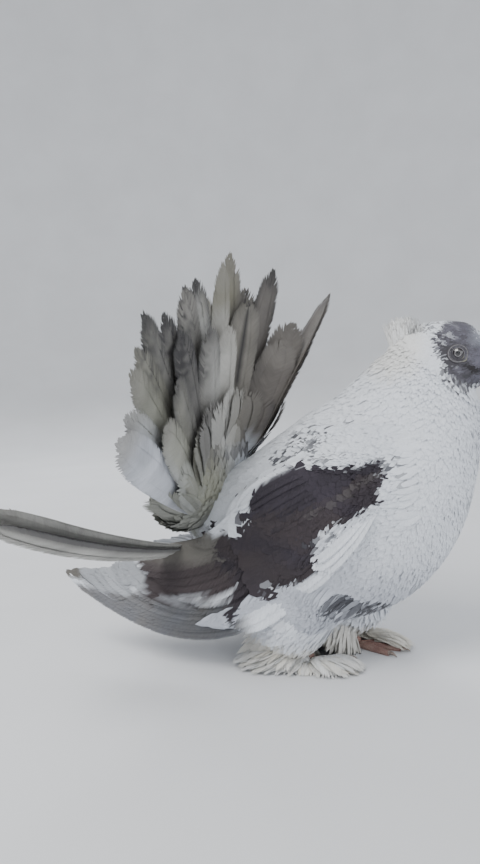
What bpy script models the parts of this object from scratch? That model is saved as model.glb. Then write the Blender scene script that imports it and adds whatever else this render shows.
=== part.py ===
"""A crested, feather-footed fantail pigeon that stands with its tail raised and spread.

The bill points to +X, the bird's left is +Y and the floor is z = 0. Lengths in this file are in
millimetres, and add_node scales them to metres. The body is one loft parted by thin cuts, and
each other piece is set on it from the same named sizes.
"""

import math
import random

import bmesh
import bpy
from mathutils import Matrix, Vector
from mathutils.bvhtree import BVHTree

MM = 0.001
GAP = 0.3  # between two pieces that touch
SIDES = (("right", -1), ("left", 1))

# Body. Each section gives the point on the back, the point on the belly or breast, and half a width.
BODY_SECTIONS = (
    ((-10, 108), (-14, 88), 9),
    ((2, 120), (-6, 70), 24),
    ((20, 134), (12, 46), 38),
    ((42, 148), (42, 30), 47),
    ((64, 163), (78, 25.5), 51),
    ((85, 177), (114, 34), 52),
    ((101, 187), (144, 51), 50),
    ((112, 196), (165, 75), 46),
    ((120, 203), (178, 102), 41),
    ((127, 209), (185, 131), 36),
    ((133, 214), (187.5, 157), 31),
    ((138, 219), (187, 175), 25),
    ((144, 224), (186, 183), 19),
    ((153, 227), (188, 186), 15.8),
    ((163, 228), (190.5, 187.5), 14.4),
    ((173, 227.5), (192.5, 189), 13.3),
    ((182, 225), (194.5, 190.5), 11.6),
    ((189, 219), (196, 192.5), 9.2),
    ((193, 212), (197, 195.5), 6.2),
)
LAST_SECTION = len(BODY_SECTIONS) - 1
NECK_FROM = 6.4  # where the neck starts, counted along BODY_SECTIONS
HEAD_FROM = 11.3
RING_POINTS = 22
RINGS_PER_SPAN = 2
SECTION_POWER = 2.25  # 2 is an ellipse, more is squarer

# Head
EYE_AT = (176.0, 10.6, 206.5)
EYE_RADIUS = 4.9
LID_RADIUS = 5.2
LID_HEIGHT = 5.0
LID_TAPER = 1.0
LID_OUT = 1.4  # of its middle past the eye's
BILL_BASE = (192.0, 0.0, 204.0)
BILL_PITCH = math.radians(12)
BILL_LENGTH = 22.0
LOWER_BILL = 0.72  # of the upper half's length
BILL_ROOT = 8.0  # inside the head
BILL_HEIGHT = 5.2  # of the upper half, at its root
LOWER_HEIGHT = 0.72  # of the upper half's height
BILL_WIDTH = 8.6
BILL_TIP = (0.12, 0.14)  # of its width and its height, as shares of those at the root
BILL_STATIONS = 9
BILL_ARC = 8
HOOK = 2.2
HOOK_FROM = 0.82  # of the bill's length
CERE_AT = (3.0, 1.9, 3.9)  # in the bill's own frame
CERE_RADII = (5.4, 2.3, 2.5)
NOSTRIL_AT = (6.4, 3.4, 3.0)
NOSTRIL_RADII = (2.2, 0.9, 0.55)
MOUTH_SLOT = (14.0, 40.0, 0.7)

# Legs. The left foot is set ahead of the right one.
FEET = {"right": (75.0, -18.0), "left": (100.0, 20.0)}
HOCK_BACK = 17.0
HOCK_HEIGHT = 21.0
SHANK_RADIUS = 3.6
TOE_RADIUS = 2.6
TOE_HEIGHT = 1.9  # of a toe's middle, less than its radius, which leaves a flat sole
TOES = ((-26, 27.0), (-2, 31.0), (24, 26.0), (178, 15.0))  # turn in degrees, and length
CLAW_LENGTH = 6.5
CLAW_RADIUS = 1.5
# A claw's middle line: reach as a share of its length, height, and share of its radius.
CLAW_FORM = ((0.0, 2.2, 1.0), (0.4, 2.4, 0.8), (0.75, 1.7, 0.45), (1.0, 0.55, 0.14))
# A thigh's middle line from the hock: ahead, outward, up, and radius.
THIGH_FORM = ((28, 11, 34, 24.0), (15, 10, 19, 24.0), (5, 5, 8, 18.0), (0, 0, -3, 6.0))

# Wings. Each rail gives x, the distance from the midline, and z, from the wing's front to its tip.
WING_UPPER = (
    (134, 30, 154),
    (98, 36, 149),
    (56, 38, 131),
    (16, 40, 96),
    (-30, 40, 82),
    (-74, 37, 75),
    (-112, 32, 66),
)
WING_LOWER = (
    (142, 30, 122),
    (116, 40, 92),
    (80, 46, 60),
    (36, 54, 31),
    (-10, 54, 21),
    (-60, 46, 28),
    (-104, 36, 47),
)
WING_BULGE = 5.0
WING_CLEAR = 0.6  # of the wing's base above the body
WING_GRID = (49, 13)

# Tail
TAIL_ROOT = Vector((0.0, 0.0, 92.0))
FAN_LENGTH = 190.0
FAN_TURNS = (-77.0, 67.0)  # of the spread's outermost feathers, right of upright
FAN_HALF = 14.5  # of a tail feather's width
FAN_TILT = 4.5
FAN_ROOTS = 32.0  # from the tail's root
# Length of each feather from the bird's left to its right, as a share of FAN_LENGTH.
FAN_SHARES = (
    (1.0, 1.01, 0.99, 1.02, 0.98, 1.0, 0.97, 0.92, 0.88),
    (0.85, 0.87, 1.01, 0.83, 1.0, 0.9, 1.02, 0.99, 0.88),
    (0.965, 0.97, 0.89, 0.96, 1.04, 1.0, 1.0, 0.95, 1.0),
)
LOW_TURNS = (77.2, 79.6)  # of two long feathers that hang lower on the right
LOW_SHARE = 1.08
LOW_SAG = Vector((0.0, 0.0, -12.0))
LOW_TILT = 52.0
# Turn of a tail feather to the bird's right of upright, and its lean ahead, in degrees.
FAN_LEANS = (
    (-78, -12),
    (-52, -7),
    (-36, 5),
    (-25, 14),
    (-15, 25),
    (-5, 14),
    (8, 9),
    (40, 6),
    (67, 7),
    (76, -12),
    (84, -13),
)

# A feather's half width, as a share of its greatest, at shares of its length from the root.
TAIL_VANE = ((0.0, 0.28), (0.34, 0.72), (0.74, 1.0), (0.93, 0.78), (1.0, 0.16))
LONG_VANE = ((0.0, 0.35), (0.5, 0.9), (0.88, 0.85), (1.0, 0.16))
PRIMARY_VANE = ((0.0, 0.35), (0.28, 0.75), (0.55, 1.0), (0.85, 0.85), (1.0, 0.16))
SHORT_VANE = ((0.0, 0.5), (0.5, 1.0), (0.86, 0.8), (1.0, 0.2))
VANE_THICK = 0.6

WHITE = (0.72, 0.74, 0.78)
CREAM = (0.66, 0.65, 0.58)
BROWN = (0.075, 0.06, 0.062)
BEIGE = (0.33, 0.31, 0.27)
SKIN = (0.5, 0.25, 0.2)
HORN = (0.42, 0.34, 0.3)
EYE_BLACK = (0.02, 0.015, 0.01)


# Numbers and curves
def spline(rows, at):
    """Catmull-Rom value at a real index along rows of equal-length number tuples."""
    last = len(rows) - 1
    at = min(max(at, 0.0), last)
    first = min(int(at), last - 1)
    part = at - first
    before, start = rows[max(first - 1, 0)], rows[first]
    end, after = rows[first + 1], rows[min(first + 2, last)]
    return tuple(
        0.5
        * (
            2 * b
            + (c - a) * part
            + (2 * a - 5 * b + 4 * c - d) * part**2
            + (3 * b - a - 3 * c + d) * part**3
        )
        for a, b, c, d in zip(before, start, end, after)
    )


def signed_power(value, power):
    return math.copysign(abs(value) ** power, value)


def between(low, high, part):
    return low + (high - low) * part


def on_side(place, side):
    return Vector((place[0], place[1] * side, place[2]))


def turned(axis, degrees):
    return Matrix.Rotation(math.radians(degrees), 4, axis)


# Meshes
def loft(rings):
    """A closed mesh through rings of equal length, with a point in the middle of each end."""
    bm = bmesh.new()
    loops = [[bm.verts.new(point) for point in ring] for ring in rings]
    count = len(rings[0])
    for first, second in zip(loops, loops[1:]):
        for step in range(count):
            after = (step + 1) % count
            bm.faces.new((first[step], first[after], second[after], second[step]))
    for loop in (loops[0], loops[-1]):
        centre = bm.verts.new(sum((vert.co for vert in loop), Vector()) / count)
        for step in range(count):
            bm.faces.new((loop[step], loop[(step + 1) % count], centre))
    bmesh.ops.recalc_face_normals(bm, faces=bm.faces)
    return bm


def tube(points, radii, sides=10):
    rings = []
    for index, (point, radius) in enumerate(zip(points, radii)):
        ahead = points[min(index + 1, len(points) - 1)]
        behind = points[max(index - 1, 0)]
        along = (ahead - behind).normalized()
        side = along.cross(Vector((0, 0, 1)))
        side = side.normalized() if side.length > 1e-3 else Vector((0, 1, 0))
        over = side.cross(along)
        ring = []
        for step in range(sides):
            angle = 2 * math.pi * step / sides
            ring.append(point + (side * math.cos(angle) + over * math.sin(angle)) * radius)
        rings.append(ring)
    return loft(rings)


def ball(centre, radii, segments=20, rings=12, turn=None):
    bm = bmesh.new()
    bmesh.ops.create_uvsphere(bm, u_segments=segments, v_segments=rings, radius=1.0)
    place = Matrix.Translation(centre) @ (turn or Matrix.Identity(4))
    bmesh.ops.transform(bm, matrix=place @ Matrix.Diagonal((*radii, 1)), verts=bm.verts)
    return bm


def block(centre, size, turn=None):
    bm = bmesh.new()
    bmesh.ops.create_cube(bm, size=1.0)
    place = Matrix.Translation(centre) @ (turn or Matrix.Identity(4))
    bmesh.ops.transform(bm, matrix=place @ Matrix.Diagonal((*size, 1)), verts=bm.verts)
    return bm


def vane(spine, sides, halves, thick):
    """A thin closed blade along spine points, split into triangles alike on both faces.

    sides are unit vectors towards its right edge, and halves its half widths.
    """
    bm = bmesh.new()
    loops = []
    for index, (point, side, half) in enumerate(zip(spine, sides, halves)):
        ahead = spine[min(index + 1, len(spine) - 1)]
        behind = spine[max(index - 1, 0)]
        over = side.cross(ahead - behind).normalized()
        skin = over * (thick / 2)
        edge = side * half
        corners = (point - edge + skin, point + edge + skin, point + edge - skin, point - edge - skin)
        loops.append([bm.verts.new(place) for place in corners])
    count = len(loops[0])
    for first, second in zip(loops, loops[1:]):
        for step in range(count):
            after = (step + 1) % count
            a, b, c, d = first[step], first[after], second[after], second[step]
            if step < count // 2:
                bm.faces.new((a, b, c))
                bm.faces.new((a, c, d))
            else:
                bm.faces.new((a, b, d))
                bm.faces.new((b, c, d))
    for loop in (loops[0], loops[-1]):
        for step in range(1, count - 1):
            bm.faces.new((loop[0], loop[step], loop[step + 1]))
    bmesh.ops.recalc_face_normals(bm, faces=bm.faces)
    return bm


def straight_vane(root, tip, side, half, form, sag=None, tilt=0.0, swell=0.0):
    """A vane from root to tip. sag moves its middle, and tilt turns it about its shaft."""
    along = (tip - root).normalized()
    side = (side - along * side.dot(along)).normalized()
    side.rotate(Matrix.Rotation(math.radians(tilt), 3, along))
    sag = sag or Vector()
    spine = [root.lerp(tip, part) + sag * (4 * part * (1 - part)) for part, _ in form]
    halves = [half * share + swell for _, share in form]
    return vane(spine, [side] * len(form), halves, VANE_THICK + 2 * swell)


# Booleans
def loose_object(name, bm):
    mesh = bpy.data.meshes.new(name)
    bm.to_mesh(mesh)
    bm.free()
    obj = bpy.data.objects.new(name, mesh)
    bpy.context.scene.collection.objects.link(obj)
    return obj


def evaluated(obj):
    bpy.context.view_layer.update()
    graph = bpy.context.evaluated_depsgraph_get()
    mesh = bpy.data.meshes.new_from_object(obj.evaluated_get(graph))
    bm = bmesh.new()
    bm.from_mesh(mesh)
    bpy.data.meshes.remove(mesh)
    return bm


def boolean(bm, others, operation, solver):
    """One Boolean of a mesh with a collection of closed meshes, applied."""
    target = loose_object("boolean_target", bm)
    group = bpy.data.collections.new("boolean_group")
    bpy.context.scene.collection.children.link(group)
    for index, other in enumerate(others):
        piece = loose_object(f"boolean_piece_{index}", other)
        bpy.context.scene.collection.objects.unlink(piece)
        group.objects.link(piece)
        piece.hide_render = True
        piece.display_type = "WIRE"
    modifier = target.modifiers.new("boolean", "BOOLEAN")
    modifier.operation = operation
    modifier.solver = solver
    modifier.operand_type = "COLLECTION"
    modifier.collection = group
    result = evaluated(target)
    for obj in (*group.objects, target):
        bpy.data.objects.remove(obj)
    bpy.data.collections.remove(group)
    return result


def largest_surface(bm):
    """Deletes all but the largest closed surface, counted by the edges that faces share."""
    unseen, groups = set(bm.faces), []
    while unseen:
        queue = [unseen.pop()]
        group = set(queue)
        while queue:
            for edge in queue.pop().edges:
                if len(edge.link_faces) != 2:
                    continue
                fresh = {face for face in edge.link_faces if face in unseen}
                unseen -= fresh
                group |= fresh
                queue += fresh
        groups.append(group)

    def size(group):
        spans = []
        for axis in range(3):
            values = [vert.co[axis] for face in group for vert in face.verts]
            spans.append(max(values) - min(values))
        return math.prod(spans)

    keep = max(groups, key=size)
    bmesh.ops.delete(bm, geom=[face for face in bm.faces if face not in keep], context="FACES")
    return bm


def fuse(pieces, solver="EXACT"):
    """All pieces as one closed surface."""
    return largest_surface(boolean(pieces[0], pieces[1:], "UNION", solver))


def cut(bm, cutters, solver="EXACT"):
    return largest_surface(boolean(bm, cutters, "DIFFERENCE", solver))


def slice_off(bm, point, normal):
    """Removes what lies beyond a plane, and closes the cut."""
    geometry = bm.verts[:] + bm.edges[:] + bm.faces[:]
    bmesh.ops.bisect_plane(
        bm, geom=geometry, plane_co=point, plane_no=normal, clear_outer=True
    )
    bmesh.ops.holes_fill(bm, edges=[edge for edge in bm.edges if edge.is_boundary])
    bmesh.ops.recalc_face_normals(bm, faces=bm.faces)


# Nodes
def material(name, colour, roughness):
    made = bpy.data.materials.new(name)
    made.use_nodes = True
    shader = made.node_tree.nodes["Principled BSDF"]
    shader.inputs["Base Color"].default_value = (*colour, 1)
    shader.inputs["Roughness"].default_value = roughness
    shader.inputs["Metallic"].default_value = 0.0
    return made


def add_node(name, bm, colour, roughness=0.8):
    """A sub-part of the bird, in metres."""
    bmesh.ops.triangulate(bm, faces=[face for face in bm.faces if len(face.verts) > 3])
    bmesh.ops.scale(bm, vec=(MM, MM, MM), verts=bm.verts)
    mesh = bpy.data.meshes.new(name)
    bm.to_mesh(mesh)
    bm.free()
    mesh.shade_smooth()
    mesh.set_sharp_from_angle(angle=math.radians(40))
    mesh.materials.append(material(name, colour, roughness))
    obj = bpy.data.objects.new(name, mesh)
    bpy.data.collections["pigeon"].objects.link(obj)


# Torso, neck and head
def body_ring(at, swell=0.0):
    """Points of the body's outline at a real index along its sections."""
    rows = [(*back, *belly, half) for back, belly, half in BODY_SECTIONS]
    back_x, back_z, belly_x, belly_z, half = spline(rows, at)
    middle = Vector(((back_x + belly_x) / 2, 0, (back_z + belly_z) / 2))
    up = Vector(((back_x - belly_x) / 2, 0, (back_z - belly_z) / 2))
    up *= 1 + swell / up.length
    power = 2 / SECTION_POWER
    ring = []
    for step in range(RING_POINTS):
        turn = 2 * math.pi * step / RING_POINTS
        rise = signed_power(math.cos(turn), power)
        side = signed_power(math.sin(turn), power)
        ring.append(middle + up * rise + Vector((0, (half + swell) * side, 0)))
    return ring


def body(first=0, last=LAST_SECTION, swell=0.0):
    """The stretch of the body between two real section indexes."""
    count = round((last - first) * RINGS_PER_SPAN) + 1
    stops = [between(first, last, step / (count - 1)) for step in range(count)]
    return loft([body_ring(stop, swell) for stop in stops])


def seam(at):
    """Point and direction of the plane through one body section."""
    ring = body_ring(at)
    middle = sum(ring, Vector()) / len(ring)
    up = ring[0] - ring[RING_POINTS // 2]
    return middle, Vector((0, 1, 0)).cross(up).normalized()


def body_part(first, last):
    """A length of the body, cut square at its seams with half a gap left at each."""
    bm = body()
    if first > 0:
        point, ahead = seam(first)
        slice_off(bm, point + ahead * GAP / 2, -ahead)
    if last < LAST_SECTION:
        point, ahead = seam(last)
        slice_off(bm, point - ahead * GAP / 2, ahead)
    return bm


def swollen_body():
    return body(swell=GAP)


def bill_frame():
    return Matrix.Translation(BILL_BASE) @ Matrix.Rotation(BILL_PITCH, 4, "Y")


def make_head():
    """The head with raised lids, eye sockets and the line of the mouth."""
    lids, sockets = [], []
    for _, side in SIDES:
        eye = on_side(EYE_AT, side)
        lid = bmesh.new()
        bmesh.ops.create_cone(
            lid,
            cap_ends=True,
            segments=16,
            radius1=LID_RADIUS,
            radius2=LID_RADIUS - LID_TAPER,
            depth=LID_HEIGHT,
        )
        place = Matrix.Translation(eye + Vector((0, side * LID_OUT, 0)))
        bmesh.ops.transform(lid, matrix=place @ turned("X", -90 * side), verts=lid.verts)
        lids.append(lid)
        sockets.append(ball(eye, (EYE_RADIUS + GAP,) * 3, 14, 10))
    bm = fuse([body_part(HEAD_FROM, LAST_SECTION), *lids])
    slot = block((0, 0, 0), MOUTH_SLOT)
    bmesh.ops.transform(slot, matrix=bill_frame(), verts=slot.verts)
    return cut(bm, [*sockets, slot])


def bill_half(upper):
    """Half of the bill in its own frame, +X to the tip, from inside the head."""
    length = BILL_LENGTH if upper else BILL_LENGTH * LOWER_BILL
    sign = 1 if upper else -1
    deep = BILL_HEIGHT if upper else BILL_HEIGHT * LOWER_HEIGHT
    rings = []
    for station in range(BILL_STATIONS):
        along = station / (BILL_STATIONS - 1)
        shape = (1 - along) ** 0.55
        width = 0.5 * BILL_WIDTH * between(BILL_TIP[0], 1, shape)
        height = deep * between(BILL_TIP[1], 1, shape)
        droop = HOOK * max(along - HOOK_FROM, 0) / (1 - HOOK_FROM) if upper else 0.0
        x = between(-BILL_ROOT, length, along)
        ring = []
        for step in range(BILL_ARC + 1):
            angle = math.pi * step / BILL_ARC
            z = sign * (GAP / 2 + height * math.sin(angle)) - droop
            ring.append(Vector((x, width * math.cos(angle), z)))
        rings.append(ring)
    return loft(rings)


def make_bill(upper):
    bm = bill_half(upper)
    if upper:
        cere = [ball(on_side(CERE_AT, side), CERE_RADII, 12, 8) for _, side in SIDES]
        nostrils = [ball(on_side(NOSTRIL_AT, side), NOSTRIL_RADII, 10, 6) for _, side in SIDES]
        bm = cut(fuse([bm, *cere]), nostrils)
    bmesh.ops.transform(bm, matrix=bill_frame(), verts=bm.verts)
    return cut(bm, [swollen_body()])


# Each row of the crest: x and z of its middle root, feathers, length, and lean back in degrees.
CREST_ROWS = (
    (132.5, 213.0, 5, 17.0, 9),
    (138.0, 219.0, 6, 14.5, 9),
    (143.0, 221.0, 7, 13.5, 2),
    (147.5, 221.5, 5, 11.5, -10),
)
CREST_REACH = 10.5  # of the outer roots from the midline
CREST_DROP = 3.0  # of the outer roots below the middle one
CREST_HALF = 2.1
CREST_FLARE = 0.4  # of the outer feathers to the side
CREST_CORE = ((142.5, 0.0, 219.5), (7.5, 12.5, 6.5))


def make_crest():
    """Rows of small upright feathers across the back of the crown."""
    draw = random.Random(5)
    pieces = [ball(*CREST_CORE, 12, 6)]
    for x, z, count, length, lean in CREST_ROWS:
        for index in range(count):
            across = between(-1, 1, index / (count - 1))
            root = Vector((x, across * CREST_REACH, z - CREST_DROP * across**2))
            reach = length * between(1, 0.8, across**2) * draw.uniform(0.86, 1.08)
            back = math.tan(math.radians(lean + draw.uniform(-6, 6)))
            tip = root + Vector((-back, CREST_FLARE * across, 1)).normalized() * reach
            yaw = math.radians(draw.uniform(20, 75)) * (1 if index % 2 else -1)
            side = Vector((math.sin(yaw), math.cos(yaw), 0))
            pieces.append(straight_vane(root, tip, side, CREST_HALF, SHORT_VANE))
    return cut(fuse(pieces), [swollen_body()])


# Wings
# Each tier: feathers, roots of the first and last (along, across), their tips, greatest half
# widths, how far the middle swings down, and heights of the first and last off the wing's base.
WING_TIERS = (
    ("primary", 6, (0.42, 0.52), (0.14, 0.86), (0.77, 0.14), (1.0, 0.45), (9.5, 8.5), 0.24, (3.6, 0.4)),
    ("secondary", 6, (0.18, 0.80), (0.26, 0.18), (0.50, 0.90), (0.72, 0.14), (9.0, 10.0), 0.04, (4.2, 5.6)),
    ("greater", 6, (0.12, 0.80), (0.20, 0.16), (0.36, 0.92), (0.52, 0.14), (8.0, 8.5), 0.03, (5.9, 7.3)),
    ("median", 6, (0.07, 0.78), (0.13, 0.15), (0.25, 0.90), (0.37, 0.13), (7.5, 8.0), 0.02, (7.2, 8.6)),
    ("lesser", 5, (0.04, 0.70), (0.06, 0.18), (0.15, 0.84), (0.23, 0.16), (7.0, 7.5), 0.0, (8.4, 9.6)),
)
VANE_FORMS = {"primary": PRIMARY_VANE, "secondary": LONG_VANE}
WING_TILT = 5.0
SINK = 5.5  # of a covert's root below its tip
SINK_SHARE = 0.5  # of a low covert's height, at most
SINK_REACH = 0.45  # of a covert's length, where it comes level
SHELL_ALONG = (0.01, 0.44)  # of the wing's length
SHELL_THICK = 6.2
SHELL_RINGS = 7
SHELL_ROWS = 5
SHELL_INNER = (5.8, 0.8)  # below the wing's base, at the front and at the back
WING_SEEDS = {"right": 21, "left": 25}


class WingBase:
    """The folded wing's base surface: its rails, held off the body where they would enter it."""

    def __init__(self):
        bm = body()
        self.tree = BVHTree.FromBMesh(bm)
        bm.free()
        alongs, acrosses = WING_GRID
        self.points = [
            [self.held_off(a / (alongs - 1), c / (acrosses - 1)) for c in range(acrosses)]
            for a in range(alongs)
        ]

    def held_off(self, along, across):
        place = along * (len(WING_UPPER) - 1)
        upper = Vector(spline(WING_UPPER, place))
        lower = Vector(spline(WING_LOWER, place))
        point = upper.lerp(lower, across)
        point.y += WING_BULGE * math.sin(math.pi * across) * (1 - along) ** 0.5
        hit = self.tree.ray_cast(Vector((point.x, 200, point.z)), Vector((0, -1, 0)))[0]
        if hit:
            point.y = max(point.y, hit.y + WING_CLEAR)
        return point

    def base(self, along, across):
        alongs, acrosses = WING_GRID
        a = min(max(along, 0), 1) * (alongs - 1)
        c = min(max(across, 0), 1) * (acrosses - 1)
        a0, c0 = min(int(a), alongs - 2), min(int(c), acrosses - 2)
        rows = self.points[a0], self.points[a0 + 1]
        first, second = (row[c0].lerp(row[c0 + 1], c - c0) for row in rows)
        point = first.lerp(second, a - a0)
        point += (second - first) * (along * (alongs - 1) - a)
        return point

    def at(self, along, across, lift):
        """Point and outward normal of the right-hand wing, mirrored to positive y."""
        step = 0.02
        back = self.base(along + step, across) - self.base(along - step, across)
        down = self.base(along, min(across + 0.1, 1)) - self.base(along, max(across - 0.1, 0))
        normal = back.cross(down).normalized()
        normal = normal if normal.y > 0 else -normal
        return self.base(along, across) + normal * lift, normal


def wing_shell(base, side):
    """The fleshy part of the folded wing, under the coverts."""
    rings = []
    for step in range(SHELL_RINGS):
        part = step / (SHELL_RINGS - 1)
        along = between(*SHELL_ALONG, part)
        thick = SHELL_THICK * math.sin(math.pi * between(0.16, 0.95, part)) ** 0.7
        top = 0.04 + 0.22 * (1 - part) ** 4 + 0.28 * part**2
        low = 0.95 - 0.20 * (1 - part) ** 4 - 0.10 * part**2
        stops = [between(top, low, row / (SHELL_ROWS - 1)) for row in range(SHELL_ROWS)]
        outer = []
        for row, stop in enumerate(stops):
            lift = thick * math.sin(math.pi * between(0.1, 0.9, row / (SHELL_ROWS - 1)))
            outer.append(base.at(along, stop, lift)[0])
        depth = between(*SHELL_INNER, part)
        inner = [base.at(along, stop, -depth)[0] for stop in reversed(stops)]
        rings.append([on_side(point, side) for point in outer + inner])
    return loft(rings)


def wing_vane(base, root, tip, half, swing, lift, form, side):
    """One feather that follows the wing's base surface at its own height."""
    spine, sides = [], []
    tilt = math.radians(WING_TILT)
    places = []
    for part, _ in form:
        along = between(root[0], tip[0], part)
        across = between(root[1], tip[1], part) + swing * 4 * part * (1 - part)
        rise = lift - min(SINK, lift * SINK_SHARE) * max(1 - part / SINK_REACH, 0)
        places.append(base.at(along, across, rise))
    for index, (point, normal) in enumerate(places):
        ahead = places[min(index + 1, len(places) - 1)][0]
        behind = places[max(index - 1, 0)][0]
        flat = normal.cross(ahead - behind).normalized()
        flat = flat if flat.z < 0 else -flat
        spine.append(on_side(point, side))
        sides.append(on_side(flat * math.cos(tilt) + normal * math.sin(tilt), side))
    halves = [half * share for _, share in form]
    return vane(spine, sides, halves, VANE_THICK)


def make_wing(side_name, side):
    base = WingBase()
    draw = random.Random(WING_SEEDS[side_name])
    pieces = [wing_shell(base, side)]
    for name, count, root_a, root_b, tip_a, tip_b, halves, swing, lifts in WING_TIERS:
        form = VANE_FORMS.get(name, SHORT_VANE)
        for index in range(count):
            part = index / (count - 1)
            root = [between(a, b, part) for a, b in zip(root_a, root_b)]
            tip = [between(a, b, part) for a, b in zip(tip_a, tip_b)]
            tip[0] += draw.uniform(-0.01, 0.01)
            half = between(*halves, part) * draw.uniform(0.96, 1.04)
            lift = between(*lifts, part)
            pieces.append(wing_vane(base, root, tip, half, swing, lift, form, side))
    wing = fuse(pieces, "MANIFOLD")
    return cut(wing, [swollen_body(), thigh_core(side_name, GAP)], "MANIFOLD")


# Tail
def fan_lean(turn):
    """Lean ahead, in degrees, of the tail feather at this turn in degrees."""
    for low, high in zip(FAN_LEANS, FAN_LEANS[1:]):
        if turn <= high[0]:
            break
    part = (turn - low[0]) / (high[0] - low[0])
    return between(low[1], high[1], part * part * (3 - 2 * part))


def fan_direction(turn, extra_lean=0.0):
    """Unit direction of a tail feather."""
    lean = math.radians(fan_lean(turn) + extra_lean)
    turn = math.radians(turn)
    flat = math.cos(lean)
    return Vector((math.sin(lean), -math.sin(turn) * flat, math.cos(turn) * flat))


def fan_side(turn):
    """Unit direction round the fan, towards the bird's right at the top."""
    return (fan_direction(turn + 1) - fan_direction(turn - 1)).normalized()


def fan_band(first, last, near, far, lean=0.0, steps=19):
    """A closed band along the fan. near and far are pairs: reach, and half a thickness."""
    rings = []
    for step in range(steps):
        turn = between(first, last, step / (steps - 1))
        along = fan_direction(turn, lean)
        ahead = along.cross(fan_side(turn)).normalized()
        stops = ((near, 1), (far, 1), (far, -1), (near, -1))
        rings.append([TAIL_ROOT + along * reach + ahead * half * way for (reach, half), way in stops])
    return loft(rings)


def fan_feathers():
    """Turn, length, sag and tilt of each tail feather. The middle ones lie in front."""
    draw = random.Random(8)
    shares = [share for third in FAN_SHARES for share in third]
    rows = []
    for index, share in enumerate(shares):
        turn = between(*FAN_TURNS, index / (len(shares) - 1)) + draw.uniform(-0.9, 0.9)
        rows.append((turn, FAN_LENGTH * share, Vector(), math.copysign(FAN_TILT, -turn)))
    for turn in LOW_TURNS:
        rows.append((turn, FAN_LENGTH * LOW_SHARE, LOW_SAG, LOW_TILT))
    return rows


def fan_vanes(swell=0.0):
    """The tail feathers as loose blades. swell makes them bigger all round, for a cutter."""
    pieces = []
    for turn, length, sag, tilt in fan_feathers():
        along = fan_direction(turn)
        root, tip = TAIL_ROOT + along * FAN_ROOTS, TAIL_ROOT + along * length
        pieces.append(straight_vane(root, tip, fan_side(turn), FAN_HALF, TAIL_VANE, sag, tilt, swell))
    return pieces


def make_fan():
    core = fan_band(FAN_TURNS[0] - FAN_CORE_PAST, LOW_TURNS[-1] + FAN_CORE_PAST, *FAN_CORE)
    return cut(fuse([core, *fan_vanes()]), [swollen_body()])


def fan_room():
    """Cutters for the room that the fan takes, with a gap round it."""
    first, last = FAN_TURNS[0] - FAN_ROOM_PAST, LOW_TURNS[-1] + FAN_ROOM_PAST
    band = fan_band(first, last, *FAN_ROOM, steps=43)
    return [band, *fan_vanes(GAP)]


# Tail coverts in tiers: feathers, widest turn, length at the middle and at the sides, lean of the
# tips ahead of the fan at the middle and at the sides, lean of the roots, and the roots' distance
# from the tail's root.
UPPER_COVERTS = (
    (11, 62, 99, 86, 22, 13, 12, 40),
    (9, 56, 78, 70, 30, 20, 18, 40),
)
UNDER_COVERTS = (
    (7, 56, 92, 74, -13, -13, -14, 34),
    (5, 44, 68, 58, -22, -22, -20, 30),
)
COVERT_HALF = 9.0
COVERT_TILT = 5.0
# Solid cores of the tail's base, as fan_band takes them, and the rump's end.
FAN_CORE = ((17, 4), (44, 2.4))
FAN_CORE_PAST = 1.0  # the outermost feathers, in degrees
FAN_ROOM = ((15, 4.5), (125, 7))
FAN_ROOM_PAST = 6.0
UPPER_CORE = (-64, 62, (26, 6), (60, 3), 15)
UNDER_CORE = (-60, 60, (16, 6), (48, 3), -18)
RUMP_END = ((-17.0, 0.0, 90.0), (14, 22, 18))


def covert_vanes(tiers, draw):
    pieces = []
    for count, widest, middle, outer, tip_lean, side_lean, root_lean, root_reach in tiers:
        for index in range(count):
            across = between(-1, 1, index / (count - 1))
            turn = widest * across + draw.uniform(-1.5, 1.5)
            length = between(middle, outer, abs(across)) * draw.uniform(0.94, 1.05)
            lean = between(tip_lean, side_lean, abs(across)) + draw.uniform(-1, 1)
            root = TAIL_ROOT + fan_direction(turn, root_lean) * root_reach
            tip = TAIL_ROOT + fan_direction(turn, lean) * length
            tilt = math.copysign(COVERT_TILT, -turn)
            half = COVERT_HALF * draw.uniform(0.94, 1.06)
            pieces.append(straight_vane(root, tip, fan_side(turn), half, SHORT_VANE, tilt=tilt))
    return pieces


def make_upper_coverts():
    """The feathers that cover the front of the fan's base."""
    bm = fuse([fan_band(*UPPER_CORE), *covert_vanes(UPPER_COVERTS, random.Random(27))], "MANIFOLD")
    return cut(bm, [swollen_body(), *fan_room()], "MANIFOLD")


def make_under_coverts():
    """The rump's end and the feathers that cover the back of the fan's base."""
    pieces = [ball(*RUMP_END, 16, 10), fan_band(*UNDER_CORE)]
    bm = fuse([*pieces, *covert_vanes(UNDER_COVERTS, random.Random(19))], "MANIFOLD")
    return cut(bm, [swollen_body(), *fan_room()], "MANIFOLD")


# Legs
def hock(side_name):
    x, y = FEET[side_name]
    return Vector((x - HOCK_BACK, y, HOCK_HEIGHT))


def thigh_core(side_name, swell=0.0):
    knee = hock(side_name)
    out = -1 if side_name == "right" else 1
    points = [knee + Vector((ahead, out * aside, up)) for ahead, aside, up, _ in THIGH_FORM]
    points[-1].z -= swell
    return tube(points, [radius + swell for *_, radius in THIGH_FORM], 14)


def toe(side_name, turn, length, swell=0.0):
    x, y = FEET[side_name]
    angle = math.radians(turn)
    ahead = Vector((math.cos(angle), math.sin(angle), 0))
    start = Vector((x, y, TOE_HEIGHT))
    points = [start - ahead * 2, start + ahead * length * 0.5, start + ahead * (length + swell)]
    points[2].z -= 0.3
    return tube(points, [TOE_RADIUS * share + swell for share in (1, 1, 0.8)], 8)


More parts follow.
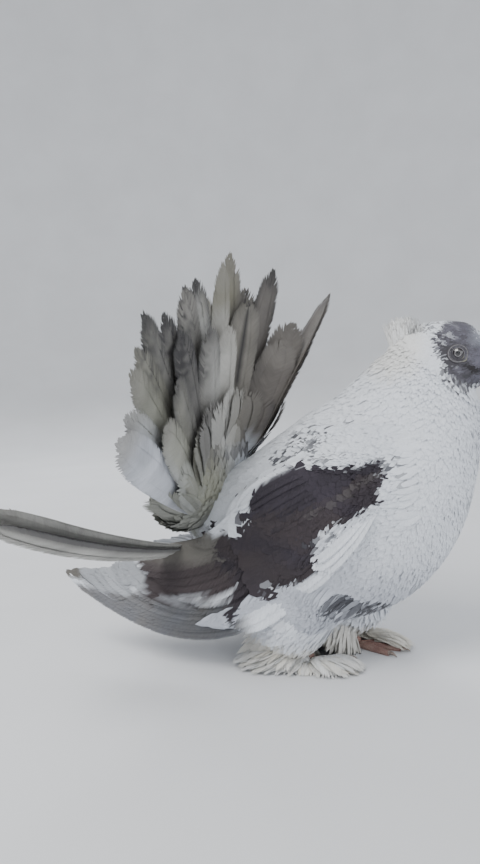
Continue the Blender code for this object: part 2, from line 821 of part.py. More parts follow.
def claw(side_name, turn, length, swell=0.0):
    x, y = FEET[side_name]
    angle = math.radians(turn)
    ahead = Vector((math.cos(angle), math.sin(angle), 0))
    start = Vector((x, y, 0)) + ahead * (length + GAP - swell)
    points = []
    for reach, height, _ in CLAW_FORM:
        points.append(start + ahead * (reach * (CLAW_LENGTH + swell)) + Vector((0, 0, height)))
    return tube(points, [CLAW_RADIUS * share + swell for *_, share in CLAW_FORM], 8)


def shank(side_name, swell=0.0):
    knee = hock(side_name)
    ankle = Vector((*FEET[side_name], 3.0))
    radii = [SHANK_RADIUS + more + swell for more in (0, 0, 0.4)]
    return tube([knee + Vector((0, 0, 1)), knee.lerp(ankle, 0.5), ankle], radii, 10)


def make_foot(side_name):
    bm = fuse([shank(side_name), *[toe(side_name, *each) for each in TOES]])
    slice_off(bm, Vector((0, 0, 0)), Vector((0, 0, -1)))
    return cut(bm, [thigh_core(side_name, GAP)])


# Foot feathers: turn outward from straight ahead, root height, reach, and height of the tip.
MUFF_VANES = (
    (8, 3.5, 25, 1.6),
    (34, 4.0, 20, 1.4),
    (62, 4.4, 14, 1.2),
    (92, 4.8, 12, 1.2),
    (118, 5.4, 17, 1.3),
    (136, 6.4, 27, 1.6),
    (150, 8.0, 37, 2.2),
    (163, 10.0, 41, 3.8),
    (118, 11.0, 20, 5.6),
    (140, 12.5, 27, 6.4),
    (158, 14.0, 34, 8.6),
)
LOW_TIP = 5.0  # a vane with a lower tip than this grows from the toes
TOE_ROOTS = (10.0, -9.0)  # x from the foot, of the foremost and of the rearmost root
MUFF_OUT = 7.0  # of the roots, outward from the foot
MUFF_HALF = 7.0
MUFF_RISE = Vector((0.0, 0.0, 2.2))
MUFF_TILT = 5.0
MUFF_FLOOR = 0.25
# Cores of the foot feathers: x, outward, z, and radii.
MUFF_CORES = (((-1, 8, 6.5), (17, 5.5, 4.8), 12), ((-9, 6, 12), (8, 5, 7), 10))


def make_muff(side_name):
    """The feathers that spread outward and back from the shank and outer toes."""
    out = -1 if side_name == "right" else 1
    draw = random.Random(31)
    foot = Vector((*FEET[side_name], 0.0))
    pieces = [ball(foot + on_side(at, out), radii, count, 6) for at, radii, count in MUFF_CORES]
    for turn, root_height, reach, tip_height in MUFF_VANES:
        angle = math.radians(turn + draw.uniform(-2, 2))
        ahead = Vector((math.cos(angle), out * math.sin(angle), 0))
        shift = between(*TOE_ROOTS, turn / 160) if tip_height < LOW_TIP else TOE_ROOTS[1]
        start = foot + Vector((shift, out * MUFF_OUT, root_height))
        tip = start + ahead * reach * draw.uniform(0.95, 1.04)
        tip.z = tip_height
        side = Vector((-ahead.y, ahead.x, 0)) * out
        half = MUFF_HALF * draw.uniform(0.94, 1.06)
        pieces.append(straight_vane(start, tip, side, half, SHORT_VANE, MUFF_RISE, MUFF_TILT))
    bm = fuse(pieces)
    slice_off(bm, Vector((0, 0, MUFF_FLOOR)), Vector((0, 0, -1)))
    cutters = [shank(side_name, GAP), thigh_core(side_name, GAP), swollen_body()]
    for turn, length in TOES:
        cutters += [toe(side_name, turn, length, GAP), claw(side_name, turn, length, GAP)]
    return cut(bm, cutters)


def clear_scene():
    for obj in list(bpy.data.objects):
        bpy.data.objects.remove(obj)
    parts = bpy.data.collections.new("pigeon")
    bpy.context.scene.collection.children.link(parts)


def centre_on_origin():
    """Moves every node so that the middle of the bird's floor outline is the origin."""
    nodes = bpy.data.collections["pigeon"].objects
    spans = []
    for axis in range(3):
        values = [vert.co[axis] for obj in nodes for vert in obj.data.vertices]
        spans.append((min(values), max(values)))
    shift = Vector((-sum(spans[0]) / 2, -sum(spans[1]) / 2, -spans[2][0]))
    for obj in nodes:
        obj.data.transform(Matrix.Translation(shift))


def build():
    clear_scene()
    add_node("torso", body_part(0, NECK_FROM), WHITE)
    add_node("neck", body_part(NECK_FROM, HEAD_FROM), WHITE)
    add_node("head", make_head(), WHITE)
    add_node("crest", make_crest(), WHITE)
    add_node("bill_upper", make_bill(True), HORN, 0.5)
    add_node("bill_lower", make_bill(False), HORN, 0.5)
    add_node("tail_fan", make_fan(), BEIGE)
    add_node("tail_coverts_upper", make_upper_coverts(), WHITE)
    add_node("tail_coverts_under", make_under_coverts(), WHITE)
    for name, side in SIDES:
        add_node(f"eye_{name}", ball(on_side(EYE_AT, side), (EYE_RADIUS,) * 3, 14, 10), EYE_BLACK, 0.1)
        add_node(f"wing_{name}", make_wing(name, side), BROWN)
        add_node(f"thigh_{name}", cut(thigh_core(name), [swollen_body()]), CREAM)
        add_node(f"foot_{name}", make_foot(name), SKIN)
        add_node(f"muff_{name}", make_muff(name), CREAM)
        for index, (turn, length) in enumerate(TOES):
            add_node(f"claw_{name}_{index}", claw(name, turn, length), HORN, 0.4)
    centre_on_origin()


build()
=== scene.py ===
import math

import bpy
import numpy as np
from mathutils import Matrix, Vector
from mathutils.bvhtree import BVHTree


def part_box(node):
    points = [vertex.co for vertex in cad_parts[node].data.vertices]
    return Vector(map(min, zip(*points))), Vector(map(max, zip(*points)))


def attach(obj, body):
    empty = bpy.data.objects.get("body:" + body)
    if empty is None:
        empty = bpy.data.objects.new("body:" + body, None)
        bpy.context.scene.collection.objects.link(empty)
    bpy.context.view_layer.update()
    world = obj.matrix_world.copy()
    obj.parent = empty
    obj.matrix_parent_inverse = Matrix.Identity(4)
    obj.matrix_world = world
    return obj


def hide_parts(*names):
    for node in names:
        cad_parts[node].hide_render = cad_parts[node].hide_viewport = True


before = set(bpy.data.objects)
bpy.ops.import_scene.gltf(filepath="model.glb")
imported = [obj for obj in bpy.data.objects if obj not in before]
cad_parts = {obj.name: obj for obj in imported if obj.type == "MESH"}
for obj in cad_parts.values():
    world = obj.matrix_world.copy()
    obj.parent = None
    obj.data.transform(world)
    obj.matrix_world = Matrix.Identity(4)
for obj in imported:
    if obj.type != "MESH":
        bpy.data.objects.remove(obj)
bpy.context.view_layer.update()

MM = 0.001
TAU = 2 * math.pi
SIDES = (("right", -1), ("left", 1))
FLOOR_CLEAR = 0.0003

# The same named sizes as in the source of the solids, in millimetres, with the tail's root at
# x = 0 and the floor at z = 0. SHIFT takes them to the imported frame.
EYE_AT = np.array((176.0, 10.6, 206.5))
EYE_RADIUS = 4.9
# Sections of the body: x and z of the back, x and z of the belly, half width.
BODY_SECTIONS = np.array((
    (-10, 108, -14, 88, 9), (2, 120, -6, 70, 24), (20, 134, 12, 46, 38), (42, 148, 42, 30, 47),
    (64, 163, 78, 25.5, 51), (85, 177, 114, 34, 52), (101, 187, 144, 51, 50), (112, 196, 165, 75, 46),
    (120, 203, 178, 102, 41), (127, 209, 185, 131, 36), (133, 214, 187.5, 157, 31), (138, 219, 187, 175, 25),
    (144, 224, 186, 183, 19), (153, 227, 188, 186, 15.8), (163, 228, 190.5, 187.5, 14.4),
    (173, 227.5, 192.5, 189, 13.3), (182, 225, 194.5, 190.5, 11.6), (189, 219, 196, 192.5, 9.2),
    (193, 212, 197, 195.5, 6.2),
), float)
LAST = len(BODY_SECTIONS) - 1
SECTION_POWER = 2.25
BILL_BASE = np.array((192.0, 0.0, 204.0))
FEET = {"right": (75.0, -18.0), "left": (100.0, 20.0)}
HOCK_BACK = 17.0
HOCK_HEIGHT = 21.0
WING_UPPER = np.array((
    (134, 30, 154), (98, 36, 149), (56, 38, 131), (16, 40, 96), (-30, 40, 82), (-74, 37, 75), (-112, 32, 66),
), float)
WING_LOWER = np.array((
    (142, 30, 122), (116, 40, 92), (80, 46, 60), (36, 54, 31), (-10, 54, 21), (-60, 46, 28), (-104, 36, 47),
), float)
WING_BULGE = 5.0
WING_CLEAR = 0.6
WING_GRID = (97, 25)
TAIL_ROOT = np.array((0.0, 0.0, 92.0))
FAN_LENGTH = 190.0
FAN_TURNS = (-77.0, 67.0)
FAN_SHARES = (
    1.0, 1.01, 0.99, 1.02, 0.98, 1.0, 0.97, 0.92, 0.88, 0.85, 0.87, 1.01, 0.83, 1.0, 0.9, 1.02, 0.99, 0.88,
    0.965, 0.97, 0.89, 0.96, 1.04, 1.0, 1.0, 0.95, 1.0,
)
FAN_TILT = 4.5
FAN_HALF = 14.5
# Lean of the fan in degrees, by its turn.
FAN_LEANS = np.array((
    (-78, -12), (-52, -7), (-36, 5), (-25, 14), (-15, 25), (-5, 14), (8, 9), (40, 6), (67, 7), (76, -12),
    (84, -13),
), float)
# The low feathers below the near side of the fan.
LOW_TURNS = (77.2, 79.6)
LOW_FROM = FAN_TURNS[1] + 5.0
LOW_SHARE = 1.08
LOW_SAG = (0.0, 0.0, -9.0)
LOW_TILT = -52.0
LOW_ROOT = np.array((0.0, 0.0, -20.0))
LOW_HALF = 11.5


def frame_shift():
    low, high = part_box("eye_right")
    middle = (np.array(low) + np.array(high)) / 2
    return middle - EYE_AT * (1, -1, 1) * MM


SHIFT = frame_shift()


def to_frame(points):
    return np.asarray(points) * MM + SHIFT


# Numbers
# Steps of an even sequence of places, along each way.
EVEN_STEPS = (0.7548776662, 0.5698402910)


def unit(vectors):
    length = np.linalg.norm(vectors, axis=-1, keepdims=True)
    return vectors / np.maximum(length, 1e-9)


def square_to(vectors, ways):
    """Unit vectors made square to unit ways."""
    return unit(vectors - ways * np.sum(vectors * ways, -1, keepdims=True))


def facing(vectors, ways):
    """Vectors, turned round where they point away from ways."""
    return vectors * np.where(np.sum(vectors * ways, -1, keepdims=True) < 0, -1, 1)


def swung(ways, normals, swing):
    return unit(ways + np.cross(normals, ways) * swing[:, None])


def mirrored(side, *arrays):
    """Arrays of the bird's left side, for the side given."""
    return [array * np.array((1, side, 1)) for array in arrays]


def spline(rows, at):
    """Catmull-Rom values of rows at an array of real indexes."""
    last = len(rows) - 1
    at = np.clip(np.asarray(at, float), 0, last)
    first = np.minimum(at.astype(int), last - 1)
    part = (at - first)[..., None]
    a, b = rows[np.maximum(first - 1, 0)], rows[first]
    c, d = rows[first + 1], rows[np.minimum(first + 2, last)]
    linear, square = c - a, 2 * a - 5 * b + 4 * c - d
    cube = d + 3 * b - a - 3 * c
    return 0.5 * (2 * b + linear * part + square * part**2 + cube * part**3)


def smooth(low, high, value):
    part = np.clip((np.asarray(value, float) - low) / (high - low), 0, 1)
    return part * part * (3 - 2 * part)


def mix(first, second, part):
    part = np.asarray(part, float)[..., None]
    return np.asarray(first) * (1 - part) + np.asarray(second) * part


def bow(stations):
    """0 at both ends and 1 in the middle."""
    return 4 * stations * (1 - stations)


def columns_at(table, at):
    """The further columns of a table, at values of its first one."""
    return np.stack([np.interp(at, table[:, 0], column) for column in table[:, 1:].T], -1)


def look_up(table, row, column):
    """Values between the points of a table, at real row and column indexes."""
    i = np.clip(row.astype(int), 0, table.shape[0] - 2)
    k = np.clip(column.astype(int), 0, table.shape[1] - 2)
    down, right = (row - i)[..., None], (column - k)[..., None]
    first = table[i, k] * (1 - right) + table[i, k + 1] * right
    second = table[i + 1, k] * (1 - right) + table[i + 1, k + 1] * right
    return first * (1 - down) + second * down


def wavy(points, scale, seed=0):
    """Smooth noise from -1 to 1 at points, as a sum of turned sine waves."""
    draw = np.random.default_rng(seed)
    total = np.zeros(np.asarray(points).shape[:-1])
    for octave in range(5):
        way, other = unit(draw.normal(size=3)), unit(draw.normal(size=3))
        rate = TAU / scale * (1 + 0.55 * octave)
        phase = draw.uniform(0, 6.28, 2)
        turn = points @ way * rate + phase[0] + 1.7 * np.sin(points @ other * rate * 0.7 + phase[1])
        total += np.sin(turn) / (1 + 0.5 * octave)
    return total / 2.6


def even(count, seed):
    """Even places over a square, as two arrays from 0 to 1."""
    index = np.arange(1, count + 1)
    return [(seed + index * step) % 1.0 for step in EVEN_STEPS]


def grid_of(rows, columns, closed=False):
    """Values over a grid, from (first, last, count) of its rows and its columns."""
    return np.meshgrid(np.linspace(*rows), np.linspace(*columns, endpoint=not closed), indexing="ij")


def places_on(grid, spacing, seed):
    """Even places on a grid of points, as shares of its rows and columns."""
    down = np.linalg.norm(np.diff(grid, axis=0)[:, :-1], axis=-1)
    right = np.linalg.norm(np.diff(grid, axis=1)[:-1], axis=-1)
    density = down * right / spacing**2
    first, second = even(int(density.sum()), seed)
    rows = np.concatenate([[0], np.cumsum(density.sum(1))])
    row_at = np.interp(first, rows / rows[-1], np.arange(len(rows)))
    row = np.minimum(row_at.astype(int), len(density) - 1)
    columns = np.concatenate([np.zeros((len(density), 1)), np.cumsum(density, 1)], 1)
    columns /= columns[:, -1:]
    column_at = np.empty(len(first))
    for each in np.unique(row):
        chosen = row == each
        column_at[chosen] = np.interp(second[chosen], columns[each], np.arange(columns.shape[1]))
    return row_at / density.shape[0], column_at / density.shape[1]


# Meshes
# y from which lines are cast at the bird's left side.
FAR = 200


def fill(data, key, values, kind=np.float32):
    data.foreach_set(key, np.asarray(values, kind).ravel())


def add_object(name, data):
    obj = bpy.data.objects.new(name, data)
    bpy.context.scene.collection.objects.link(obj)
    return obj


def make_object(name, points, faces, tint, vane, bake, normals=None):
    """A mesh object from arrays in design millimetres, with its colours and its maps."""
    faces = np.asarray(faces, np.int32)
    places = to_frame(points)
    places[:, 2] = np.maximum(places[:, 2], FLOOR_CLEAR)
    mesh = bpy.data.meshes.new(name)
    mesh.vertices.add(len(points))
    mesh.loops.add(faces.size)
    mesh.polygons.add(len(faces))
    fill(mesh.vertices, "co", places)
    fill(mesh.loops, "vertex_index", faces, np.int32)
    fill(mesh.polygons, "loop_start", np.arange(len(faces)) * faces.shape[1], np.int32)
    mesh.update(calc_edges=True)
    mesh.shade_smooth()
    colour = mesh.attributes.new("tint", "FLOAT_COLOR", "POINT")
    fill(colour.data, "color", np.insert(tint, 3, 1.0, 1))
    if vane is not None:
        fill(mesh.attributes.new("vane", "FLOAT_VECTOR", "POINT").data, "vector", vane)
    fill(mesh.uv_layers.new(name="OFBake").data, "uv", np.asarray(bake)[faces.ravel()])
    if normals is not None:
        mesh.normals_split_custom_set(normals)
    return add_object(name, mesh)


def patch(across, up, left=0.0, low=0.0, wide=1.0, high=1.0):
    """Places in a patch of the map, from shares of its breadth and height."""
    return np.stack([left + wide * np.asarray(across), low + high * np.asarray(up)], -1)


def grid_faces(rows, columns, closed=False):
    """Quads of a grid of points, row by row."""
    row, column = np.meshgrid(np.arange(rows - 1), np.arange(columns - (not closed)), indexing="ij")
    row, column = row.ravel(), column.ravel()
    after = (column + 1) % columns
    low, high = row * columns, (row + 1) * columns
    return np.stack([low + column, low + after, high + after, high + column], 1)


def sheath_faces(rows, columns):
    """Quads of a flat tube of points, with both its ends closed."""
    column = np.arange(columns // 2 - 1)
    end = np.stack([column, column + 1, columns - 2 - column, columns - 1 - column], 1)
    return np.concatenate([grid_faces(rows, columns, True), end[:, ::-1], end + (rows - 1) * columns])


def surface_tree(grid, closed=True):
    rows, columns = grid.shape[:2]
    points = [Vector(point) for point in grid.reshape(-1, 3)]
    return BVHTree.FromPolygons(points, grid_faces(rows, columns, closed).tolist())


def side_hit(tree, x, z):
    """y where a line from the bird's left first meets a surface, or None."""
    hit = tree.ray_cast(Vector((x, FAR, z)), Vector((0, -1, 0)))[0]
    return hit.y if hit else None


# Body
def body_axis(at):
    """Middle, half height as a vector, and half width of the body's sections."""
    rows = spline(BODY_SECTIONS, at)
    back, belly = rows[..., :2], rows[..., 2:4]
    middle, up = (np.insert(value / 2, 1, 0.0, -1) for value in (back + belly, back - belly))
    return middle, up, rows[..., 4]


def body_point(at, turn, swell=0.0):
    middle, up, half = body_axis(at)
    up = up * (1 + swell / np.linalg.norm(up, axis=-1))[..., None]
    power = 2 / SECTION_POWER
    rise, side = (np.sign(value) * np.abs(value) ** power for value in (np.cos(turn), np.sin(turn)))
    point = middle + up * rise[..., None]
    point[..., 1] += (half + swell) * side
    return point


def body_frame(at, turn, swell=0.0):
    """Point, outward normal and the way to the tail, on the body's surface."""
    point = body_point(at, turn, swell)
    ahead = body_point(np.minimum(at + 0.05, LAST), turn, swell)
    forward = ahead - body_point(np.maximum(at - 0.05, 0), turn, swell)
    around = body_point(at, turn + 0.02, swell) - body_point(at, turn - 0.02, swell)
    normal = facing(unit(np.cross(around, forward)), point - body_axis(at)[0])
    return point, normal, square_to(-unit(forward), normal)


def body_grid(first, rows, columns):
    return body_point(*grid_of((first, LAST, rows), (0, TAU, columns), True))


def coat_depth(at):
    """How far the skin lies inside the solids."""
    return 2.6 - 1.9 * smooth(10.5, 12.5, at)


def body_uv(at, turn):
    return patch(at / LAST, (turn / TAU) % 1.0, 0.02, 0.02, 0.72, 0.96)


# Colours, as linear values
WHITE = np.array((0.74, 0.77, 0.82))
CREAM = np.array((0.76, 0.73, 0.65))
SLATE = np.array((0.032, 0.027, 0.036))
UMBER = np.array((0.044, 0.035, 0.037))
SMOKE = np.array((0.052, 0.052, 0.062))
LILAC = np.array((0.125, 0.12, 0.155))
MASK = np.array((0.03, 0.026, 0.032))
TAUPE = np.array((0.30, 0.285, 0.27))
MIST = np.array((0.25, 0.265, 0.31))
OLIVE = np.array((0.21, 0.20, 0.14))
BEIGE = np.array((0.135, 0.128, 0.115))
PALE = np.array((0.43, 0.41, 0.36))
INK = np.array((0.028, 0.026, 0.028))
# Painted shade: olive grey that stands for white feathers in shadow, with a greenish painted reflection.
SHADED_OLIVE = np.array((0.24, 0.245, 0.21))

# Outlines of the marks on a side of the bird, x and z in design millimetres.
UPPER_PATCH = (
    (48, 119), (49, 106), (58, 101), (77, 106), (91, 111), (115, 123.5), (130, 133.5), (138, 136),
    (136, 145), (126, 142), (112, 141), (94, 142), (77, 139), (62, 132), (53, 126),
)
LOWER_PATCH = (
    (46, 98), (50, 112), (62, 114), (82, 114), (91, 116), (115, 129), (128, 137), (137, 139), (135, 119),
    (128, 118), (119, 110), (105, 104), (98, 101), (97, 90), (94, 81), (90, 74), (78, 68),
    (60, 58), (67, 70), (55, 60), (47, 54), (41, 41), (35, 45), (32, 53), (38, 66), (28, 74),
    (19, 84), (26, 96), (40, 100),
)
# Ends of the pale line between both patches.
PALE_LINE = ((80, 106.5), (136, 136.5))
BROWN_FLIGHT = (
    (-38, 77), (-21, 90), (11, 96), (30, 92), (44, 78), (44, 62), (36, 53), (12, 51), (-28, 46), (-36, 52),
)
WHITE_TIP = ((-97, 62), (-80, 72), (-50, 76), (-37, 74), (-36, 52), (-54, 48), (-78, 47), (-92, 54))
WHITE_STREAK = ((-20, 50), (12, 52), (34, 54), (34, 52), (12, 49.5), (-20, 48))
MASK_OUTLINE = (
    (166, 212), (167, 219), (171, 224), (174, 230), (182, 230), (188, 221), (193, 214), (199, 208),
    (199, 190), (187, 186), (180, 187), (174, 192), (170, 199), (167, 206),
)
# Marks lower than this are on the right side only.
HIDDEN_MARK = 60
# Streaked flecks: middle x and z, radii along x and z, and share of the feathers that are dark.
FLECKS = (
    (93, 161, 13, 8, 0.55), (80, 149, 14, 7, 0.6), (118, 168, 9, 4, 0.2), (138, 142, 12, 4, 0.5),
    (150, 132, 6, 9, 0.15), (109, 97, 12, 7, 0.5), (120, 50, 25, 8, 0.95), (161, 226, 7, 5, 0.5),
    (26, 140, 6, 5, 0.8), (22, 131, 7, 4, 0.6), (100, 147, 18, 4, 0.3),
)
NAPE = (141, 218)
GAPE = (187.5, 197.5)


def line_gap(x, z, start, end):
    """Distance from a line's stretch between two places."""
    run_x, run_z = end[0] - start[0], end[1] - start[1]
    part = np.clip(((x - start[0]) * run_x + (z - start[1]) * run_z) / (run_x**2 + run_z**2), 0, 1)
    return np.hypot(x - start[0] - part * run_x, z - start[1] - part * run_z)


def outline_distance(outline, x, z):
    """Distance from a closed outline, negative inside it."""
    nearest, inside = np.full(np.shape(x), 1e9), np.zeros(np.shape(x), bool)
    for (x0, z0), (x1, z1) in zip(outline, outline[1:] + outline[:1]):
        nearest = np.minimum(nearest, line_gap(x, z, (x0, z0), (x1, z1)))
        crosses = (z0 > z) != (z1 > z)
        inside ^= crosses & (x < (x1 - x0) * (z - z0) / (z1 - z0 + 1e-9) + x0)
    return np.where(inside, -nearest, nearest)


def covered(outline, x, z, shift, soft=0.8):
    """1 inside an outline, 0 outside it."""
    return 1 - smooth(-soft, soft, outline_distance(outline, x, z) + shift)


def patches(tint, x, z, shift):
    """Paints the two dark patches that lie over the wing and the shoulder."""
    place = np.stack([x, z, 0 * x], -1)
    slate = SLATE * (1 + 0.25 * wavy(place, 34, 21))[..., None]
    tint = mix(tint, slate, covered(UPPER_PATCH, x, z, shift))
    warm = mix(slate, UMBER, 0.5 + 0.5 * wavy(place, 45, 22))
    tint = mix(tint, warm, covered(LOWER_PATCH, x, z, shift))
    (x0, z0), (x1, z1) = PALE_LINE
    along = (x - x0) / (x1 - x0)
    gap = np.abs(z - z0 - (z1 - z0) * along - 1.2 * np.sin(along * 9))
    line = (1 - smooth(0.6, 2.6, gap)) * smooth(0, 0.3, along) * (along < 1)
    return mix(tint, TAUPE * 0.5, 0.22 * line)


def flecked(tint, point, chance):
    """Darkens single feathers in the flecks."""
    x, y, z = np.moveaxis(point, -1, 0)
    noise = 0.22 * wavy(point, 8, 5)
    for fleck_x, fleck_z, radius_x, radius_z, share in FLECKS:
        reach = np.hypot((x - fleck_x) / radius_x, (z - fleck_z) / radius_z) + noise
        amount = share * (1 - smooth(0.6, 1.15, reach)) * smooth(8, 14, np.abs(y) + (z > 215) * 9)
        amount = amount * np.where((y > 0) & (fleck_z < HIDDEN_MARK), 0.0, 1.0)
        tint = mix(tint, SMOKE, np.clip(0.45 + 1.1 * chance, 0, 0.95) * (chance < amount))
    return tint


def masked(tint, point, chance, shift):
    """Paints the streaked mask round eyes and bill, and the dark gape."""
    x, y, z = np.moveaxis(point, -1, 0)
    eye = np.hypot(x - EYE_AT[0], z - EYE_AT[2])
    streak = wavy(np.stack([0.22 * x, 0.3 * y, z + 0.35 * x], -1), 3.4, 6)
    depth = 0.5 + 0.45 * streak + 0.2 * wavy(point, 12, 9) + 0.3 * (chance - 0.4)
    depth = depth + 0.4 * smooth(174, 166, x) + 0.5 * smooth(9.5, 6.5, eye) - 0.45 * smooth(186, 193, x)
    depth = depth + 0.3 * smooth(206, 198, z)
    mask = mix(LILAC, MASK, np.clip(depth, 0, 1))
    mask = mix(mask, MIST, 0.7 * smooth(183, 190, x) * smooth(207, 214, z))
    mask = mix(mask, WHITE * 0.6, smooth(0.35, 0.8, -streak) * smooth(182, 170, x) * smooth(5, 8, eye))
    dark = covered(MASK_OUTLINE, x, z, shift * 0.6 + 2.6 * streak + 1.0 * wavy(point, 9, 7), 1.2)
    tint = mix(tint, mask, dark * 0.96)
    gape = np.hypot((x - GAPE[0]) / 6.0, (z - GAPE[1] + 0.4 * (x - GAPE[0] - 0.5)) / 1.4)
    return mix(tint, INK, 0.9 * (1 - smooth(0.8, 1.2, gape)))


def body_colour(point, chance, shift):
    """Colour of small feathers from their places, with painted shade on the lower body and beside the tail.
    chance, from 0 to 1, picks the dark flecks.
    """
    x, y, z = np.moveaxis(point, -1, 0)
    outer = np.abs(y)
    tint = WHITE * (1 + 0.03 * wavy(point, 55, 3))[..., None]
    tint = mix(tint, CREAM, (1 - smooth(10, 26, np.hypot(x - NAPE[0], z - NAPE[1]))) * 0.5)
    # Painted shade: the lower body turns bluish grey towards the bottom, as if in shadow.
    tint = mix(tint, MIST * 1.4, 0.55 * smooth(100, 50, z))
    # Painted shade with a greenish painted reflection on the rump's sides beside the tail.
    tint = mix(tint, SHADED_OLIVE, 0.9 * smooth(24, 8, x) * smooth(10, 18, outer) * smooth(70, 84, z))
    tint = mix(tint, CREAM, 0.6 * (1 - smooth(26, 34, z)))
    tint = flecked(tint, point, chance)
    tint = mix(tint, patches(tint, x, z, shift), smooth(18, 26, outer))
    return masked(tint, point, chance, shift)


# Tufts
# Outlines of a small feather: share of its length and share of its half width. The last is its tip.
FINE = np.array(((0, 0.5), (0.45, 1.0), (0.8, 0.62), (1.0, 0.0)))
ROUND = np.array(((0, 0.4), (0.35, 0.9), (0.68, 1.0), (0.9, 0.66), (1.0, 0.0)))
BARB = np.array(((0, 0.8), (0.5, 1.0), (1.0, 0.0)))
# Size on the map of a small feather.
MAP_PATCH = 0.003


def tuft_faces(loops):
    """Triangles of one closed tuft of three-sided loops and a tip, and their side: 1 up or -1 down."""
    faces = [(0, 2, 1)]
    ways = [1, *(1, 1, 1, 1, -1, -1) * (loops - 1), 1, 1, -1]
    for start in range(0, loops * 3 - 3, 3):
        for first, second in ((0, 1), (1, 2), (2, 0)):
            faces.append((start + first, start + second, start + 3 + second))
            faces.append((start + first, start + 3 + second, start + 3 + first))
    start, tip = loops * 3 - 3, loops * 3
    faces += [(start, start + 1, tip), (start + 1, start + 2, tip), (start + 2, start, tip)]
    return np.array(faces)[:, ::-1], np.array(ways)


def tuft_vane(ahead, beside, seed, options):
    """Places on each tuft's own vane, and its number from 0 to 1."""
    count = len(ahead)
    way = np.broadcast_to(options.get("way", (1.0, 0.0)), (count, 2))
    vane = np.empty((*ahead.shape, 3))
    vane[..., 0] = ahead * way[:, :1] - beside * way[:, 1:]
    vane[..., 1] = ahead * way[:, 1:] + beside * way[:, :1]
    vane[..., :2] += np.broadcast_to(options.get("start", 0.0), (count, 2))[:, None]
    vane[..., 2] = options.get("order", np.random.default_rng(seed).random(count))[:, None]
    return vane


def tufts(name, form, root, normal, lie, length, half, rise, tints, bake, seed=1, **options):
    """Small closed feathers, one for each row of the arrays.

    rise is how far a tip stands off for each millimetre of length. tints holds the colours of root
    and tip. The options are cup, thick, soft (normals to shade by), fluffy (the same normals on
    both sides), start and way on its vane, and order, its number.
    """
    count, loops = len(root), len(form) - 1
    stations, shares = form.T
    side = unit(np.cross(normal, lie))
    length, half = length[:, None], half[:, None]
    rise = np.broadcast_to(rise, (count,))[:, None]
    height = length * rise * (1.5 * stations - 0.5 * stations**2)
    spine = root[:, None] + lie[:, None] * (length * stations)[..., None]
    spine = spine + normal[:, None] * height[..., None]
    wide = (half * shares)[..., None] * side[:, None]
    drop = normal[:, None] * (half * shares * options.get("cup", 0.1))[..., None]
    ridge = normal[:, None] * options.get("thick", 0.1)
    rows = [spine - wide - drop, spine + ridge, spine + wide - drop]
    body = np.stack([row[:, :loops] for row in rows], 2).reshape(count, loops * 3, 3)
    points = np.concatenate([body, spine[:, loops:]], 1)
    each, ways = tuft_faces(loops)
    ways = np.abs(ways) if options.get("fluffy") else ways
    faces = (np.arange(count)[:, None, None] * (loops * 3 + 1) + each).reshape(-1, 3)
    across = np.append(np.tile((-1.0, 0.0, 1.0), loops) * np.repeat(shares[:loops], 3), 0.0)
    along = np.append(np.repeat(stations[:loops], 3), 1.0)
    vane = tuft_vane(length * along, half * across, seed, options)
    part = along[None, :, None]
    colours = tints[0][:, None] * (1 - part) + tints[1][:, None] * part
    uv = bake[:, None] + np.stack([along - 0.5, across * 0.5], -1) * MAP_PATCH
    soft = options.get("soft", normal)[:, None] + 0.18 * side[:, None] * across[None, :, None]
    points, colours, vane, soft = (value.reshape(-1, 3) for value in (points, colours, vane, soft))
    normals = unit(soft)[faces.ravel()] * np.tile(np.repeat(ways, 3), count)[:, None]
    return make_object(name, points, faces, colours, vane, uv.reshape(-1, 2), normals)


# Coat of the body
FEATHER_SIZES = np.array((
    (0, 17), (1.5, 17), (4, 16), (6.5, 14), (9, 12), (11, 9.5), (12.5, 6.5), (14, 5), (16, 3.4), (18, 2.4),
))
# Stretches of the coat: section indexes, spacing as a share of the feathers' length, and seed.
STRETCHES = (
    ("coat_rump", 0.3, 3.2, 0.13, 0.14), ("coat_back", 3.2, 6.4, 0.13, 0.27),
    ("coat_neck", 6.4, 11.3, 0.15, 0.41), ("coat_head", 11.3, 17.85, 0.165, 0.55),
)
EYE_OPENING = 5.0
SWING = 0.16


def feather_size(at):
    return columns_at(FEATHER_SIZES, at)[..., 0]


def bare(point):
    """Places that stay without feathers: round the eyes and at the bill's base."""
    x, y, z = np.moveaxis(point, -1, 0)
    eyes = np.hypot(x - EYE_AT[0], z - EYE_AT[2]) < EYE_OPENING
    bill = (x > 189.5) & (np.abs(y) < 5.4) & (z < 210.5) & (z > 196)
    return eyes | bill


